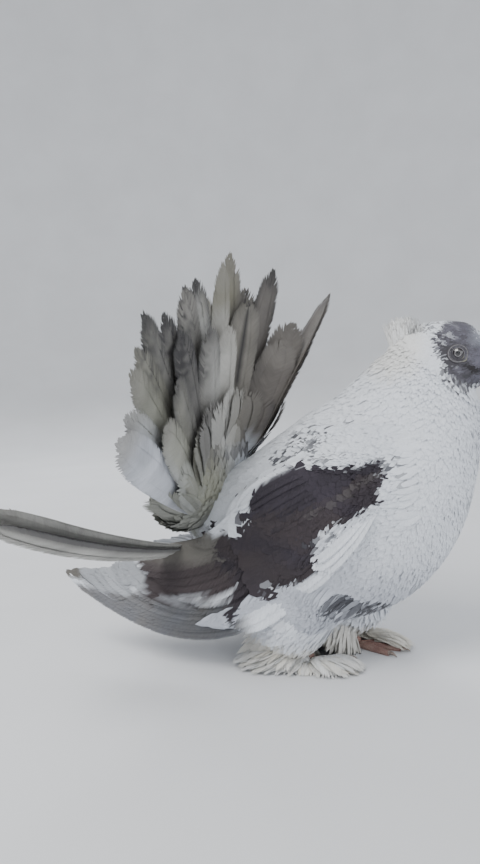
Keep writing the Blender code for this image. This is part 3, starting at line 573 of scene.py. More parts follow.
def body_coat(name, first, last, share, seed):
    at, turn = grid_of((first, last, 161), (0, TAU, 121))
    spacing = feather_size((at[:-1, :1] + at[1:, :1]) / 2) * share
    row, column = places_on(body_point(at, turn), spacing, seed)
    at, turn = first + (last - first) * row, TAU * column
    depth = coat_depth(at)
    point, normal, lie = body_frame(at, turn, -depth)
    keep = ~bare(point)
    at, turn, point, normal, lie, depth = (v[keep] for v in (at, turn, point, normal, lie, depth))
    draw = np.random.default_rng(int(seed * 100))
    count = len(at)
    lie = swung(lie, normal, draw.normal(0, SWING, count) + 0.2 * wavy(point, 24, 31))
    length = feather_size(at) * draw.uniform(0.8, 1.2, count)
    half = length * draw.uniform(0.19, 0.26, count)
    rise = depth * 0.95 / length + draw.uniform(-0.008, 0.012, count)
    tint = body_colour(point + normal * depth[:, None], draw.random(count), draw.normal(0, 1.5, count))
    tint = tint * draw.uniform(0.96, 1.03, count)[:, None]
    form = (point, normal, lie, length, half, rise)
    # Painted shade: each feather is darker at its root, where the feathers over it shade it.
    return tufts(name, FINE, *form, (tint * 0.96, tint), body_uv(at, turn), int(seed * 1000))


# Rows of a thigh from inside the body to the hock: x, y and z from the hock, and radius.
THIGH_FORM = np.array(((28, 11, 34, 24), (15, 10, 19, 24), (5, 5, 8, 18), (0, 0, -3, 6)), float)
# The forward leg's top leans back, so that it stays inside the body.
THIGH_TOPS = {"right": (0, 0, 0), "left": (-15, 0, 6)}
THIGH_DEPTH = 2.2
THIGH_GRID = ((0, 1, 30), (0, TAU, 48), True)
THIGH_COUNT = 4600


def thigh_uv(index, along, around):
    return patch(along, around / TAU, 0.78, 0.02 + 0.48 * index, 0.2, 0.44)


def thigh_surface(name, along, around, swell=0.0):
    """Points, normals and downward ways of a thigh's surface, from inside the body to the hock."""
    x, y = FEET[name]
    path = THIGH_FORM * (1, dict(SIDES)[name], 1, 1)
    path[:, :3] += (x - HOCK_BACK, y, HOCK_HEIGHT)
    path[0, :3] += THIGH_TOPS[name]
    last = len(path) - 1
    row = spline(path, along * last)
    ahead, behind = (spline(path, np.clip(along + step, 0, 1) * last) for step in (0.02, -0.02))
    way = unit(ahead[..., :3] - behind[..., :3])
    side = unit(np.cross(way, (0, 1.0, 0)))
    normal = side * np.cos(around)[..., None] + np.cross(way, side) * np.sin(around)[..., None]
    return row[..., :3] + normal * (row[..., 3:] + swell), normal, way


def thigh_coat(index, name):
    draw = np.random.default_rng(90 + index)
    count = THIGH_COUNT
    along, around = even(count, 0.3)
    along, around = 0.15 + 0.84 * along, TAU * around
    point, normal, way = thigh_surface(name, along, around, -THIGH_DEPTH)
    low = smooth(0.6, 0.85, along)
    lie = unit(way + np.array((-0.5, 0, -0.25)) + low[:, None] * normal * 0.9)
    lie = swung(square_to(lie, normal), normal, draw.normal(0, SWING, count))
    length = np.interp(along, (0.3, 0.7, 1), (17, 16, 14)) * draw.uniform(0.8, 1.25, count)
    half = length * draw.uniform(0.13, 0.18, count)
    length = length * (1 + 0.45 * low)
    rise = 2.0 / length + draw.uniform(-0.02, 0.05, count) + low * draw.uniform(0.15, 0.75, count)
    tint = mix(WHITE, CREAM, 0.8 * smooth(34, 24, point[:, 2]))
    tint = tint * draw.uniform(0.95, 1.03, count)[:, None]
    # Painted shade: each feather is darker at its root, where the feathers over it shade it.
    form = (point, normal, lie, length, half, rise, (tint * 0.88, tint))
    return tufts(f"coat_thigh_{name}", FINE, *form, thigh_uv(index, along, around), 95 + index)


SKIN_GRID = (200, 128)


def make_skin():
    """The body's loft and both thighs, inside the solids by the coat's depth."""
    rows, columns = SKIN_GRID
    at, turn = grid_of((0, LAST, rows), (0, TAU, columns), True)
    points = body_point(at, turn, -coat_depth(at)).reshape(-1, 3)
    half = np.full(len(points), 0.5)
    # Painted shade: the skin is the feathers' colour made darker, so that it reads as shade in the gaps of
    # the coat.
    tint = body_colour(points, half, 0 * half) * 0.85
    uv = body_uv(at.ravel(), turn.ravel())
    parts = [(points, grid_faces(rows, columns, True)[:, ::-1], tint, uv)]
    for end, row in ((0, 0), (1, rows - 1)):
        ring = np.arange(columns) + row * columns
        centre = np.full(columns // 2, len(points) + end)
        cap = np.stack([ring[::2], ring[1::2], np.roll(ring[::2], -1), centre], 1)
        middle = points[ring].mean(0)[None]
        parts.append((middle, cap[:, ::-1] if end else cap, tint[ring[:1]], uv[ring[:1]]))
    start = len(points) + 2
    for index, (name, _) in enumerate(SIDES):
        along, around = grid_of(*THIGH_GRID)
        grid = thigh_surface(name, along, around, -THIGH_DEPTH)[0].reshape(-1, 3)
        faces = grid_faces(*along.shape, True) + start + index * len(grid)
        # Painted shade: the thighs' skin is a darkened white.
        shade = np.broadcast_to(WHITE * 0.8, grid.shape)
        parts.append((grid, faces, shade, thigh_uv(index, along.ravel(), around.ravel())))
    points, faces, tint, uv = (np.concatenate(value) for value in zip(*parts))
    return make_object("skin", points, faces, tint, None, uv)


# Big feathers
VANE_COLUMNS = 7
VANE_THICK = 0.3
# The web ends just inside the barbs that stand out from it.
WEB_SHARE = 0.94
WEB_REACH = 0.975
BARB_THICK = 0.16
# Outlines: share of the length and share of the greatest half width.
TAIL_FORM = (
    (0, 0.25), (0.12, 0.5), (0.34, 0.8), (0.6, 0.97), (0.76, 1.0), (0.88, 0.82), (0.95, 0.52), (1.0, 0.10),
)
LOW_FORM = ((0, 0.5), (0.2, 0.8), (0.5, 1.0), (0.8, 0.9), (0.92, 0.62), (1.0, 0.12))
FLIGHT_FORM = ((0, 0.2), (0.2, 0.7), (0.5, 0.95), (0.75, 1.0), (0.9, 0.8), (0.97, 0.48), (1.0, 0.08))
COVERT_FORM = ((0, 0.35), (0.3, 0.85), (0.6, 1.0), (0.8, 0.95), (0.93, 0.66), (0.985, 0.35), (1.0, 0.08))
MUFF_FORM = ((0, 0.45), (0.25, 0.85), (0.55, 1.0), (0.78, 1.0), (0.92, 0.84), (0.98, 0.6), (1.0, 0.3))


def outline_share(form, stations):
    knots, values = np.array(form).T
    index = np.interp(stations, knots, np.arange(len(knots)))
    return np.clip(spline(values[:, None], index)[:, 0], 0.03, 1.05)


class Plumage:
    """The big feathers of one piece, and the loose barbs along their edges."""

    def __init__(self, name, cells, barb_gap):
        self.name, self.cells, self.barb_gap = name, cells, barb_gap
        self.vanes, self.barbs = [], []

    def map_place(self, t, q):
        down, right = divmod(len(self.vanes), self.cells)
        inside = patch(t, q * 0.5 + 0.5, 0.08, 0.08, 0.84, 0.84)
        return (np.array((right, down)) + inside) / self.cells

    def add(self, frames, half, form, draw, paint, cup, shaft, loose):
        """A feather from its rows of spine, side and upward way. paint gives colours from points, t and q."""
        spine, side, over = frames
        rows = len(spine)
        stations = np.linspace(0, 1, rows)
        share = outline_share(form, stations)
        length = float(np.linalg.norm(np.diff(spine, axis=0), axis=1).sum())
        order = draw.random()
        self.add_barbs((stations, *frames, share), half, length, draw, paint, order, loose)
        across = np.linspace(-1, 1, VANE_COLUMNS)
        wide = WEB_SHARE * share[:, None] * across * half
        flat = WEB_SHARE * across[None] * np.ones((rows, 1))
        drop = -cup * half * across[None] ** 2 * share[:, None]
        ridge = shaft * (1 - 0.75 * stations[:, None]) * np.exp(-((wide / 0.9) ** 2))
        thin = VANE_THICK * (1 - 0.7 * np.abs(across[None]) ** 3)
        reach = spine[0] + (spine - spine[0]) * WEB_REACH
        centre = reach[:, None] + side[:, None] * wide[..., None]
        top = centre + over[:, None] * (drop + ridge * 0.6 + thin / 2)[..., None]
        low = centre + over[:, None] * (drop - ridge * 0.5 - thin / 2)[..., None]
        points, q, w = (
            np.concatenate([upper, lower[:, ::-1]], 1).reshape(-1, upper[0, 0].size)
            for upper, lower in ((top, low), (flat, flat), (wide, wide))
        )
        t, q, w = np.repeat(stations * WEB_REACH, VANE_COLUMNS * 2), q[:, 0], w[:, 0]
        vane = np.stack([t * length, w, np.full_like(t, order)], -1)
        faces = sheath_faces(rows, VANE_COLUMNS * 2)
        self.vanes.append((points, faces, paint(points, t, q), vane, self.map_place(t, q)))

    def add_barbs(self, rows, half, length, draw, paint, order, loose):
        stations, spine, side, over, share = rows
        count = max(int(length / self.barb_gap), 8)
        t = np.tile(np.linspace(0.08, 0.985, count), 2)
        sign = np.repeat((-1.0, 1.0), count)
        count *= 2
        t = np.clip(t + draw.normal(0, 0.4 / count, count), 0, 0.99)

        def at(values):
            return np.stack([np.interp(t, stations, column) for column in values.T], -1)

        middle, beside, above = at(spine), unit(at(side)), unit(at(over))
        ahead = unit(at(np.gradient(spine, axis=0)))
        here = np.interp(t, stations, share)
        phase = draw.uniform(0, 6.28, 4)
        place = t * length
        clump = np.sin(place / 1.9 + phase[0] + sign) + np.sin(place / 4.3 + phase[1] + 2 * sign)
        fray = (0.15 + 0.4 * smooth(0.75, 0.95, t)) * loose
        angle = np.radians(54 + 30 * smooth(0.84, 1.0, t) + 4 * clump * fray + draw.normal(0, 1.5, count))
        end = smooth(0.88, 0.97, t)
        q_root = 0.5 * here * (1 - end * draw.random(count))
        reach = (here - q_root) * half / np.cos(np.minimum(angle, 1.02)) * (1 - 0.35 * end)
        reach = np.maximum(reach, (0.3 - 0.12 * end) * half + 1.2)
        reach = reach * (1 + fray * draw.uniform(-0.16, 0.12, count))
        gap = np.sin(place / 6.1 + phase[2] + sign) + np.sin(place / 2.7 + phase[3] - sign)
        keep = gap < 2 - 0.45 * fray
        q_root = sign * q_root
        lie = beside * (sign * np.cos(angle))[:, None] + ahead * np.sin(angle)[:, None]
        root = middle + beside * (q_root * half)[:, None]
        root = root + above * draw.uniform(-0.18, 0.22, count)[:, None]
        tip_t = np.minimum(t + np.sin(angle) * reach / length, 1.0)
        tip_q = sign * np.minimum(here + 0.1, 1.0)
        tints = paint(root, t, q_root), paint(root + lie * reach[:, None], tip_t, tip_q)
        start = np.stack([place, q_root * half], -1)
        way = np.stack([np.sin(angle), sign * np.cos(angle)], -1)
        uv = self.map_place(t, q_root)
        width = self.barb_gap * draw.uniform(0.75, 1.05, count)
        row = (root, above, lie, reach, width, *tints, uv, start, way, np.full(count, order))
        self.barbs.append([value[keep] for value in row])

    def make(self):
        """The vanes and the barbs, as two objects."""
        sizes = [len(vane[0]) for vane in self.vanes]
        starts = np.cumsum([0, *sizes])
        faces = np.concatenate([vane[1] + start for vane, start in zip(self.vanes, starts)])
        points, _, tint, vane, uv = (np.concatenate(value) for value in zip(*self.vanes))
        web = make_object(self.name, points, faces, tint, vane, uv)
        *form, first, last, uv, start, way, order = (np.concatenate(value) for value in zip(*self.barbs))
        options = {"start": start, "way": way, "order": order, "cup": 0.0, "thick": BARB_THICK}
        return web, tufts(self.name + "_barbs", BARB, *form, 0.0, (first, last), uv, **options)


# Wings
# Each tier: feathers, roots of the first and last (along, across), their tips, half widths, how
# far the middle swings down, heights of the first and last off the base, and outline.
WING_TIERS = (
    (10, (0.40, 0.50), (0.14, 0.88), (0.76, 0.14), (1.0, 0.42), (9.5, 8.5), 0.24, (3.4, 0.3), FLIGHT_FORM),
    (12, (0.18, 0.86), (0.26, 0.16), (0.50, 0.95), (0.72, 0.12), (8.5, 10.5), 0.04, (3.9, 5.6), FLIGHT_FORM),
    (15, (0.12, 0.86), (0.20, 0.12), (0.35, 0.96), (0.53, 0.10), (6.6, 7.4), 0.03, (5.5, 7.0), COVERT_FORM),
    (16, (0.08, 0.84), (0.13, 0.10), (0.26, 0.95), (0.41, 0.08), (5.8, 6.6), 0.02, (6.8, 8.0), COVERT_FORM),
)
WING_SEEDS = {"right": 7, "left": 8}
LESSER_SEEDS = {"right": (0.31, 17), "left": (0.73, 19)}
LESSER_SPACING = 2.5
LESSER_FROM, LESSER_TO = -0.04, 0.37
# How far the markings of the left wing lie further back.
LEFT_SHIFT = 4


class Wing:
    """The folded wing's base surface, as a table to look places up in."""

    def __init__(self):
        tree = surface_tree(body_grid(0, 80, 64))
        table = np.empty((*WING_GRID, 3))
        for i, along in enumerate(np.linspace(0, 1, WING_GRID[0])):
            upper, lower = (spline(edge, along * (len(edge) - 1)) for edge in (WING_UPPER, WING_LOWER))
            for j, across in enumerate(np.linspace(0, 1, WING_GRID[1])):
                point = upper + (lower - upper) * across
                point[1] += WING_BULGE * math.sin(math.pi * across) * (1 - along) ** 0.5
                hit = side_hit(tree, point[0], point[2])
                if hit is not None:
                    point[1] = max(point[1], hit + WING_CLEAR)
                table[i, j] = point
        for _ in range(3):
            table[1:-1, :, 1] = (table[:-2, :, 1] + 2 * table[1:-1, :, 1] + table[2:, :, 1]) / 4
        self.table = table

    def base(self, along, across):
        rows, columns = WING_GRID
        return look_up(self.table, along * (rows - 1), np.clip(across, 0, 1) * (columns - 1))

    def at(self, along, across, lift):
        """Points and outward normals at a height off the base, for the bird's left wing."""
        back = self.base(along + 0.03, across) - self.base(along - 0.03, across)
        down = self.base(along, np.minimum(across + 0.08, 1)) - self.base(along, np.maximum(across - 0.08, 0))
        normal = facing(unit(np.cross(back, down)), (0, 1, 0))
        return self.base(along, across) + normal * lift[..., None], normal


def wing_paint(side, shift):
    """Colours of a wing from points. shift moves a feather's marks, so that they break at it."""
    def paint(points, t, q):
        x, z = points[:, 0] + shift * 0.8 + (0 if side < 0 else LEFT_SHIFT), points[:, 2]
        place = points * (1, side, 1)
        rough = shift + 1.4 * wavy(place, 11, 17)
        tint = np.broadcast_to(WHITE, points.shape) * (1 + 0.03 * wavy(place, 30, 4))[:, None]
        flight = smooth(54, 49, z + rough * 0.5) * smooth(52, 36, x)
        grey = mix(MIST, TAUPE, 0.5 + 0.5 * wavy(place, 38, 15)) * mix(0.5, 0.24, smooth(-60, 30, x))
        grey = mix(grey, WHITE, 0.1 * smooth(0.6, 0.95, np.abs(q)))
        tint = mix(tint, grey, flight)
        # Painted shade: the wing's tip, a feather lying in shadow, turns grey-brown.
        tint = mix(tint, BEIGE, smooth(-80, -88, x) * smooth(52, 56, z))
        olive = mix(BEIGE, UMBER * 1.15, smooth(82, 70, z + rough))
        tint = mix(tint, olive, covered(BROWN_FLIGHT, x, z, rough - 1, 1.5))
        tint = mix(tint, WHITE * 0.5, covered(WHITE_TIP, x, z, rough, 1.5))
        tint = mix(tint, WHITE * 0.5, 0.7 * covered(WHITE_STREAK, x, z, rough * 0.6))
        return patches(tint, x, z, rough)
    return paint


def lesser_lift(along, across):
    """Height of the small coverts off the wing's base."""
    edges = smooth(-0.12, 0.16, across) * (1 - 0.75 * smooth(0.72, 1.0, across))
    return 9.0 * smooth(-0.05, 0.13, along) * edges - 1.0


def lesser_coverts(wing, name, side):
    """The small coverts of a wing's front, on the wing's own map."""
    spread_seed, seed = LESSER_SEEDS[name]
    draw = np.random.default_rng(seed)
    along, across = grid_of((LESSER_FROM, LESSER_TO, 120), (0, 1, 80))
    grid = wing.at(along, across, lesser_lift(along, across))[0]
    row, across = places_on(grid, LESSER_SPACING, spread_seed)
    along = LESSER_FROM + (LESSER_TO - LESSER_FROM) * row
    count = len(along)
    root, normal = wing.at(along, across, lesser_lift(along, across) - 1.9)
    ahead = along + np.interp(along, (-0.04, 0.1, 0.37), (0.045, 0.055, 0.07))
    tip = wing.at(ahead, across + draw.normal(0, 0.02, count), lesser_lift(ahead, across) + 0.1)[0]
    length = np.linalg.norm(tip - root, axis=-1) * draw.uniform(0.85, 1.15, count)
    lie = unit(tip - root)
    half = length * draw.uniform(0.2, 0.26, count)
    tint = wing_paint(side, draw.normal(0, 0.7, count))(root + (tip - root) * 0.5, 0 * along, 0 * along)
    fleck = (draw.random(count) < 0.5) & (np.hypot((root[:, 0] - 110) / 13, (root[:, 2] - 97) / 8) < 1)
    tint = mix(tint, SMOKE, 0.8 * fleck) * draw.uniform(0.95, 1.04, count)[:, None]
    uv = patch((along + 0.05) / 0.45, across, 0.02, 0.52, 0.4, 0.46)
    form = (*mirrored(side, root, square_to(normal, lie), lie), length, half)
    # Painted shade: each covert is darker at its root and a little lighter at its tip.
    return tufts(f"wing_coverts_{name}", ROUND, *form, 0.01, (tint * 0.88, tint * 1.03), uv, 33, cup=0.12)


def wing_shell(wing, name, side):
    """The closed form under the small coverts, in their colours darkened as painted shade."""
    along, across = grid_of((-0.02, 0.5, 30), (0, 1, 20))
    fade = 1 - smooth(0.3, 0.5, along)
    outer = wing.at(along, across, (lesser_lift(along, across) - 2.4) * fade)[0]
    inner = wing.at(along, across, np.full(along.shape, -5.0))[0]
    points = np.concatenate([outer, inner[:, ::-1]], 1).reshape(-1, 3)
    faces = sheath_faces(30, 40)
    zeros = np.zeros(len(points))
    # Painted shade: the wing's colours made darker under the coverts.
    tint = wing_paint(side, 0.0)(points, zeros, zeros) * 0.8
    u, v = grid_of((0, 1, 30), (0, 1, 40))
    uv = patch(u.ravel(), v.ravel(), 0.45, 0.52, 0.5, 0.46)
    faces = faces if side > 0 else faces[:, ::-1]
    return make_object(f"wing_shell_{name}", *mirrored(side, points), faces, tint, None, uv)


def wing_feathers(wing, name, side):
    draw = np.random.default_rng(WING_SEEDS[name])
    feathers = Plumage(f"wing_feathers_{name}", 11, 1.0)
    for count, *ends, halves, swing, lifts, form in WING_TIERS:
        long = form is FLIGHT_FORM
        stations = np.linspace(0, 1, 36 if long else 20)
        for part in np.arange(count) / (count - 1):
            root, tip = (mix(first, last, part) for first, last in (ends[:2], ends[2:]))
            run = tip + draw.uniform(-1, 1, 2) * (0.012, 0.02) - root
            along = root[0] + run[0] * stations
            across = root[1] + run[1] * stations + swing * bow(stations)
            lift = lifts[0] + (lifts[1] - lifts[0]) * part + draw.uniform(-0.15, 0.15)
            rise = lift - min(5.5, lift * 0.5) * np.maximum(1 - stations / 0.45, 0)
            spine, normal = wing.at(along, across, rise)
            way = unit(np.gradient(spine, axis=0))
            flat = facing(unit(np.cross(normal, way)), (0, 0, -1))
            tilt = math.radians(5 + draw.uniform(-1.5, 1.5))
            beside = flat * math.cos(tilt) + normal * math.sin(tilt)
            over = facing(unit(np.cross(way, beside)), normal)
            half = (halves[0] + (halves[1] - halves[0]) * part) * draw.uniform(0.95, 1.06)
            paint, shade = wing_paint(side, draw.normal(0, 2.2)), draw.uniform(0.93, 1.06)

            def coloured(points, t, q, paint=paint, shade=shade):
                return paint(*mirrored(side, points), t, q) * shade * (0.94 + 0.08 * np.abs(q))[:, None]

            frames = mirrored(side, spine, beside, over)
            feathers.add(frames, half, form, draw, coloured, 0.06, 0.6 if long else 0.25, 0.7)
    return feathers.make()


# Flanks
# Line along which the body's feathers lie over the wing: x and z down its front and lower edges,
# then the band's breadth before and behind it.
WING_RIM = ((104, 152), (134, 153), (142, 122), (116, 92), (80, 60), (36, 33))
RIM_BREADTH = (19.0, 12.0)
SKIRT = ((34, 36), (62, 31), (86, 30), (104, 40), (118, 50), (96, 66), (62, 54), (40, 44))
HEM = np.array(((30, 36), (40, 33), (62, 30), (84, 30), (100, 36), (118, 46), (140, 70)))
DRAPE_X, DRAPE_Z = (16, 156), (20, 166)
DRAPE_STEP = 2.0
DRAPE_RISE = 1.6
DRAPE_COUNT = 25000
DRAPE_HEIGHTS = (30, 60, 110, 150)


class Drape:
    """Outer surface of a side, from its body, wing and thigh, as a table of y over x and z."""

    def __init__(self, wing, name, side):
        thigh = thigh_surface(name, *grid_of(*THIGH_GRID))[0]
        along, across = grid_of((-0.02, 0.6, 60), (0, 1, 30))
        cover = wing.at(along, across, lesser_lift(along, across))[0]
        trees = [surface_tree(*mirrored(side, thigh)), surface_tree(body_grid(0, 90, 72))]
        trees.append(surface_tree(cover, False))
        xs, zs = (np.arange(*ends, DRAPE_STEP) for ends in (DRAPE_X, DRAPE_Z))
        table = np.full((len(xs), len(zs)), -1.0)
        for i, x in enumerate(xs):
            for k, z in enumerate(zs):
                hits = [side_hit(tree, x, z) for tree in trees]
                table[i, k] = max([hit for hit in hits if hit is not None], default=-1.0)
        for k in range(len(zs) - 2, -1, -1):
            table[:, k] = np.where(table[:, k] < 0, table[:, k + 1] - 0.5, table[:, k])
        self.table = self.tightened(table)[..., None]

    @staticmethod
    def tightened(table):
        """Fills the hollows of a table, as a skin pulled over it."""
        for _ in range(40):
            wide = np.pad(table, 1, "edge")
            mean = (wide[:-2, 1:-1] + wide[2:, 1:-1] + wide[1:-1, :-2] + wide[1:-1, 2:]) / 4
            table = np.maximum(table, mean)
        return table

    def at(self, x, z):
        """Points of the surface over places x and z."""
        sizes = np.array(self.table.shape[:2]) - 1.001
        i, k = (np.clip((value - first) / DRAPE_STEP, 0, size) for value, (first, _), size in zip(
            (x, z), (DRAPE_X, DRAPE_Z), sizes))
        return np.stack([x, look_up(self.table, i, k)[..., 0], z], -1)

    def normal(self, x, z):
        east = self.at(x + 2, z) - self.at(x - 2, z)
        up = self.at(x, z + 2) - self.at(x, z - 2)
        return unit(np.cross(up, east))


def hem(x):
    """Height of the flank's lower edge."""
    return columns_at(HEM, x)[..., 0]


def drape_coat(wing, name, side):
    """Feathers of the flank and shoulder that lie over the wing's edges and the thigh."""
    draw = np.random.default_rng(51)
    x, z = draw.uniform(20, 154, DRAPE_COUNT), draw.uniform(26, 164, DRAPE_COUNT)
    nearest, ahead = np.full(len(x), 1e9), np.zeros(len(x))
    for start, end in zip(WING_RIM, WING_RIM[1:]):
        gap = line_gap(x, z, start, end)
        turn = (end[0] - start[0]) * (z - start[1]) - (end[1] - start[1]) * (x - start[0])
        ahead = np.where(gap < nearest, turn, ahead)
        nearest = np.minimum(gap, nearest)
    band = nearest / np.where(ahead > 0, *RIM_BREADTH)
    skirt = outline_distance(SKIRT, x, z) < 2
    ragged = draw.random(len(x))
    keep = ((band + 0.4 * ragged < 1) | skirt) & (z > hem(x) + 1) & (x + 14 * ragged < 156)
    return drape_tufts(Drape(wing, name, side), name, side, x[keep], z[keep], draw)


def drape_tufts(drape, name, side, x, z, draw):
    count = len(x)
    slope = np.interp(z, DRAPE_HEIGHTS, (0.35, 0.62, 0.5, 0.3)) + draw.normal(0, 0.12, count)
    length = np.interp(z, DRAPE_HEIGHTS, (17, 17, 14, 11)) * draw.uniform(0.8, 1.2, count)
    reach = length / np.hypot(1, slope)
    tip_x = x - reach
    tip_z = np.maximum(z - slope * reach, hem(tip_x) + draw.uniform(-1.0, 1.5, count))
    normal = drape.normal(x, z)
    root = drape.at(x, z) - normal * 1.6
    rise = draw.uniform(0.2, DRAPE_RISE, count)[:, None]
    tip = drape.at(tip_x, tip_z) + drape.normal(tip_x, tip_z) * rise
    length, lie = np.linalg.norm(tip - root, axis=-1), unit(tip - root)
    chance, shift = draw.random(count), draw.normal(0, 1.0, count)
    middle = mirrored(side, (root + tip) / 2)[0]
    tint = body_colour(middle, chance, shift) * draw.uniform(0.96, 1.03, count)[:, None]
    half = length * draw.uniform(0.14, 0.2, count)
    at = np.interp(middle[:, 0], (16, 60, 110, 150), (1.8, 3.8, 6.2, 8.0))
    turn = np.interp(middle[:, 2], (26, 100, 160), (0.62, 0.3, 0.12)) * math.pi
    uv = body_uv(at, turn if side > 0 else TAU - turn)
    form = (*mirrored(side, root, square_to(normal, lie), lie), length, half)
    # Painted shade: each feather is darker at its root, where the feathers over it shade it.
    return tufts(f"coat_flank_{name}", FINE, *form, 0.0, (tint * 0.96, tint), uv, 52)


# Tail
# Front feathers of the fan, shorter than the rest: turn, length and lean added.
FRONT_FEATHERS = (
    (-45, 150, 3), (-31, 158, 3), (-20, 168, 2.5), (-9, 142, 3), (3, 163, 2.5), (14, 147, 3.5),
    (25, 154, 3), (36, 166, 2.5), (46, 150, 3), (57, 144, 3),
)
# Looks of the fan's feathers by turn: pale and dark from 0 to 1, with dark at the edges and the tip.
FAN_LOOKS = np.array((
    (-80, 0.8, 0.0), (-50, 0.6, 0.1), (-34, 0.2, 0.2), (-22, 0.3, 0.3), (-15, 0.75, 0.75), (-9, 0.3, 0.25),
    (-4, 0.55, 1.0), (1, 0.5, 0.5), (7, 0.9, 0.15), (14, 0.55, 0.0), (20, 0.2, 0.1), (23, 0.3, 1.0),
    (28, 0.5, 0.2), (35, 0.3, 0.8), (43, 0.2, 1.0), (50, 0.6, 0.35), (58, 0.9, 0.2), (64, 1.0, 0.0),
    (68, 1.0, 0.0), (72, 0.7, 0.5), (80, 0.7, 0.7),
))
# Ground colours of the fan by turn, partly painted light. The darker brownish grounds of the upright feathers
# hold painted shade, and the bluish white from 63 to 74, on feathers that face the sky, is painted sky light.
FAN_GROUNDS_AND_LIGHT = np.array((
    (-80, 0.20, 0.19, 0.175), (-50, 0.15, 0.138, 0.125), (-20, 0.13, 0.117, 0.106), (-3, 0.15, 0.138, 0.126),
    (6, 0.19, 0.18, 0.155), (11, 0.36, 0.35, 0.32), (22, 0.44, 0.435, 0.41), (27, 0.22, 0.213, 0.195),
    (34, 0.12, 0.115, 0.108), (43, 0.16, 0.155, 0.143), (52, 0.235, 0.232, 0.18), (58, 0.29, 0.29, 0.25),
    (63, 0.52, 0.54, 0.59), (74, 0.54, 0.56, 0.60), (76, 0.33, 0.325, 0.305), (84, 0.31, 0.305, 0.285),
))
# Dark brush marks on the fan: turn, breadth of turn, reach where they start and strength.
BRUSHES = ((31, 5.5, 112, 1.0), (37, 6, 126, 1.1), (47, 5, 142, 0.8), (-6, 5, 168, 0.9), (-26, 6, 150, 0.3))
DARK_SHAFT, DARK_SHAFT_REACH = 2.0, 3.5
FAN_ROOT_REACH = 26
FAN_STATIONS = np.linspace(0, 1, 44)


def fan_lean(turn):
    turn = np.asarray(turn, float)
    index = np.clip(np.searchsorted(FAN_LEANS[:, 0], turn) - 1, 0, len(FAN_LEANS) - 2)
    low, high = FAN_LEANS[index], FAN_LEANS[index + 1]
    return low[..., 1] + (high[..., 1] - low[..., 1]) * smooth(low[..., 0], high[..., 0], turn)


def fan_direction(turn, extra=0.0):
    lean, turn = np.radians(fan_lean(turn) + extra), np.radians(turn)
    flat = np.cos(lean)
    return np.stack([np.sin(lean), -np.sin(turn) * flat, np.cos(turn) * flat], -1)


def fan_side(turn):
    return unit(fan_direction(turn + 1) - fan_direction(turn - 1))


def turn_at(flat):
    """Turn in degrees of places from the tail's root."""
    return np.degrees(np.arctan2(-flat[..., 1], flat[..., 2]))


def tail_paint(turn, length, draw):
    """Colours along and across one tail feather."""
    pale, dark = columns_at(FAN_LOOKS, turn)
    seed = int(draw.integers(1000))
    light_side = draw.choice((-1, 1))
    shade = draw.uniform(0.88, 1.1)
    low = turn > LOW_FROM

    def paint(points, t, q):
        place = np.stack([t * length - np.abs(q) * 11, q * 30 + 60 * np.sign(q), 0 * t], -1)
        streak = wavy(place * (1, 0.12, 1), 9, seed) + 0.6 * wavy(place * (1, 0.25, 1), 3.5, seed + 1)
        flat = points - TAIL_ROOT
        here, reach = turn_at(flat), np.linalg.norm(flat, axis=-1)
        # The ground colours carry painted shade and painted sky light.
        tint = columns_at(FAN_GROUNDS_AND_LIGHT, turn + 0.0 * q if low else 0.65 * turn + 0.35 * here) * shade
        tint = tint * (1 + 0.22 * wavy(points, 60, 71) + 0.12 * streak + 0.1 * light_side * q)[:, None]
        olive = smooth(150, 165, reach) * smooth(2, 6, here) * smooth(24, 18, here)
        tint = mix(tint, OLIVE * 0.85, 0.8 * olive)
        tint = mix(tint, BEIGE * 2.2, (0.3 + 0.4 * pale) * smooth(0.8, 0.95, t) * (1 - dark))
        if low:
            # Painted shade: the lower of the two low feathers is dark on its downward half, as its shaded
            # underside.
            return mix(tint, INK, 0.85 * smooth(-0.1, -0.5, q) * (turn > LOW_TURNS[1] - 1))
        edge = smooth(0.45, 0.85, np.abs(q) + 0.12 * streak) * smooth(0.68, 0.82, t)
        ink = np.maximum(edge, smooth(0.86, 0.96, t + 0.03 * streak)) * dark
        for middle, breadth, start, strength in BRUSHES:
            brush = np.exp(-(((here - middle) / breadth) ** 2)) * smooth(start, start + 14, reach)
            ink = np.maximum(ink, brush * strength * smooth(-0.25, 0.35, streak))
        if abs(turn - DARK_SHAFT) < DARK_SHAFT_REACH:
            ink = np.maximum(ink, smooth(0.14, 0.05, np.abs(q)) * smooth(95, 110, reach))
        return mix(tint, INK, np.clip(ink, 0, 0.93))

    return paint


def fan_feathers(draw):
    """Turn, lean, length, sag and tilt in degrees of each feather."""
    first, last = FAN_TURNS
    rows = []
    for index, share in enumerate(FAN_SHARES):
        turn = first + (last - first) * index / (len(FAN_SHARES) - 1) + draw.uniform(-0.8, 0.8)
        rows.append((turn, 0.0, FAN_LENGTH * share, 0.0, math.copysign(FAN_TILT, -turn)))
    for turn in LOW_TURNS:
        rows.append((turn, 0.0, FAN_LENGTH * LOW_SHARE, LOW_SAG, LOW_TILT))
    for turn, length, lean in FRONT_FEATHERS:
        rows.append((turn, lean, length, 0.0, math.copysign(FAN_TILT, -turn)))
    return rows


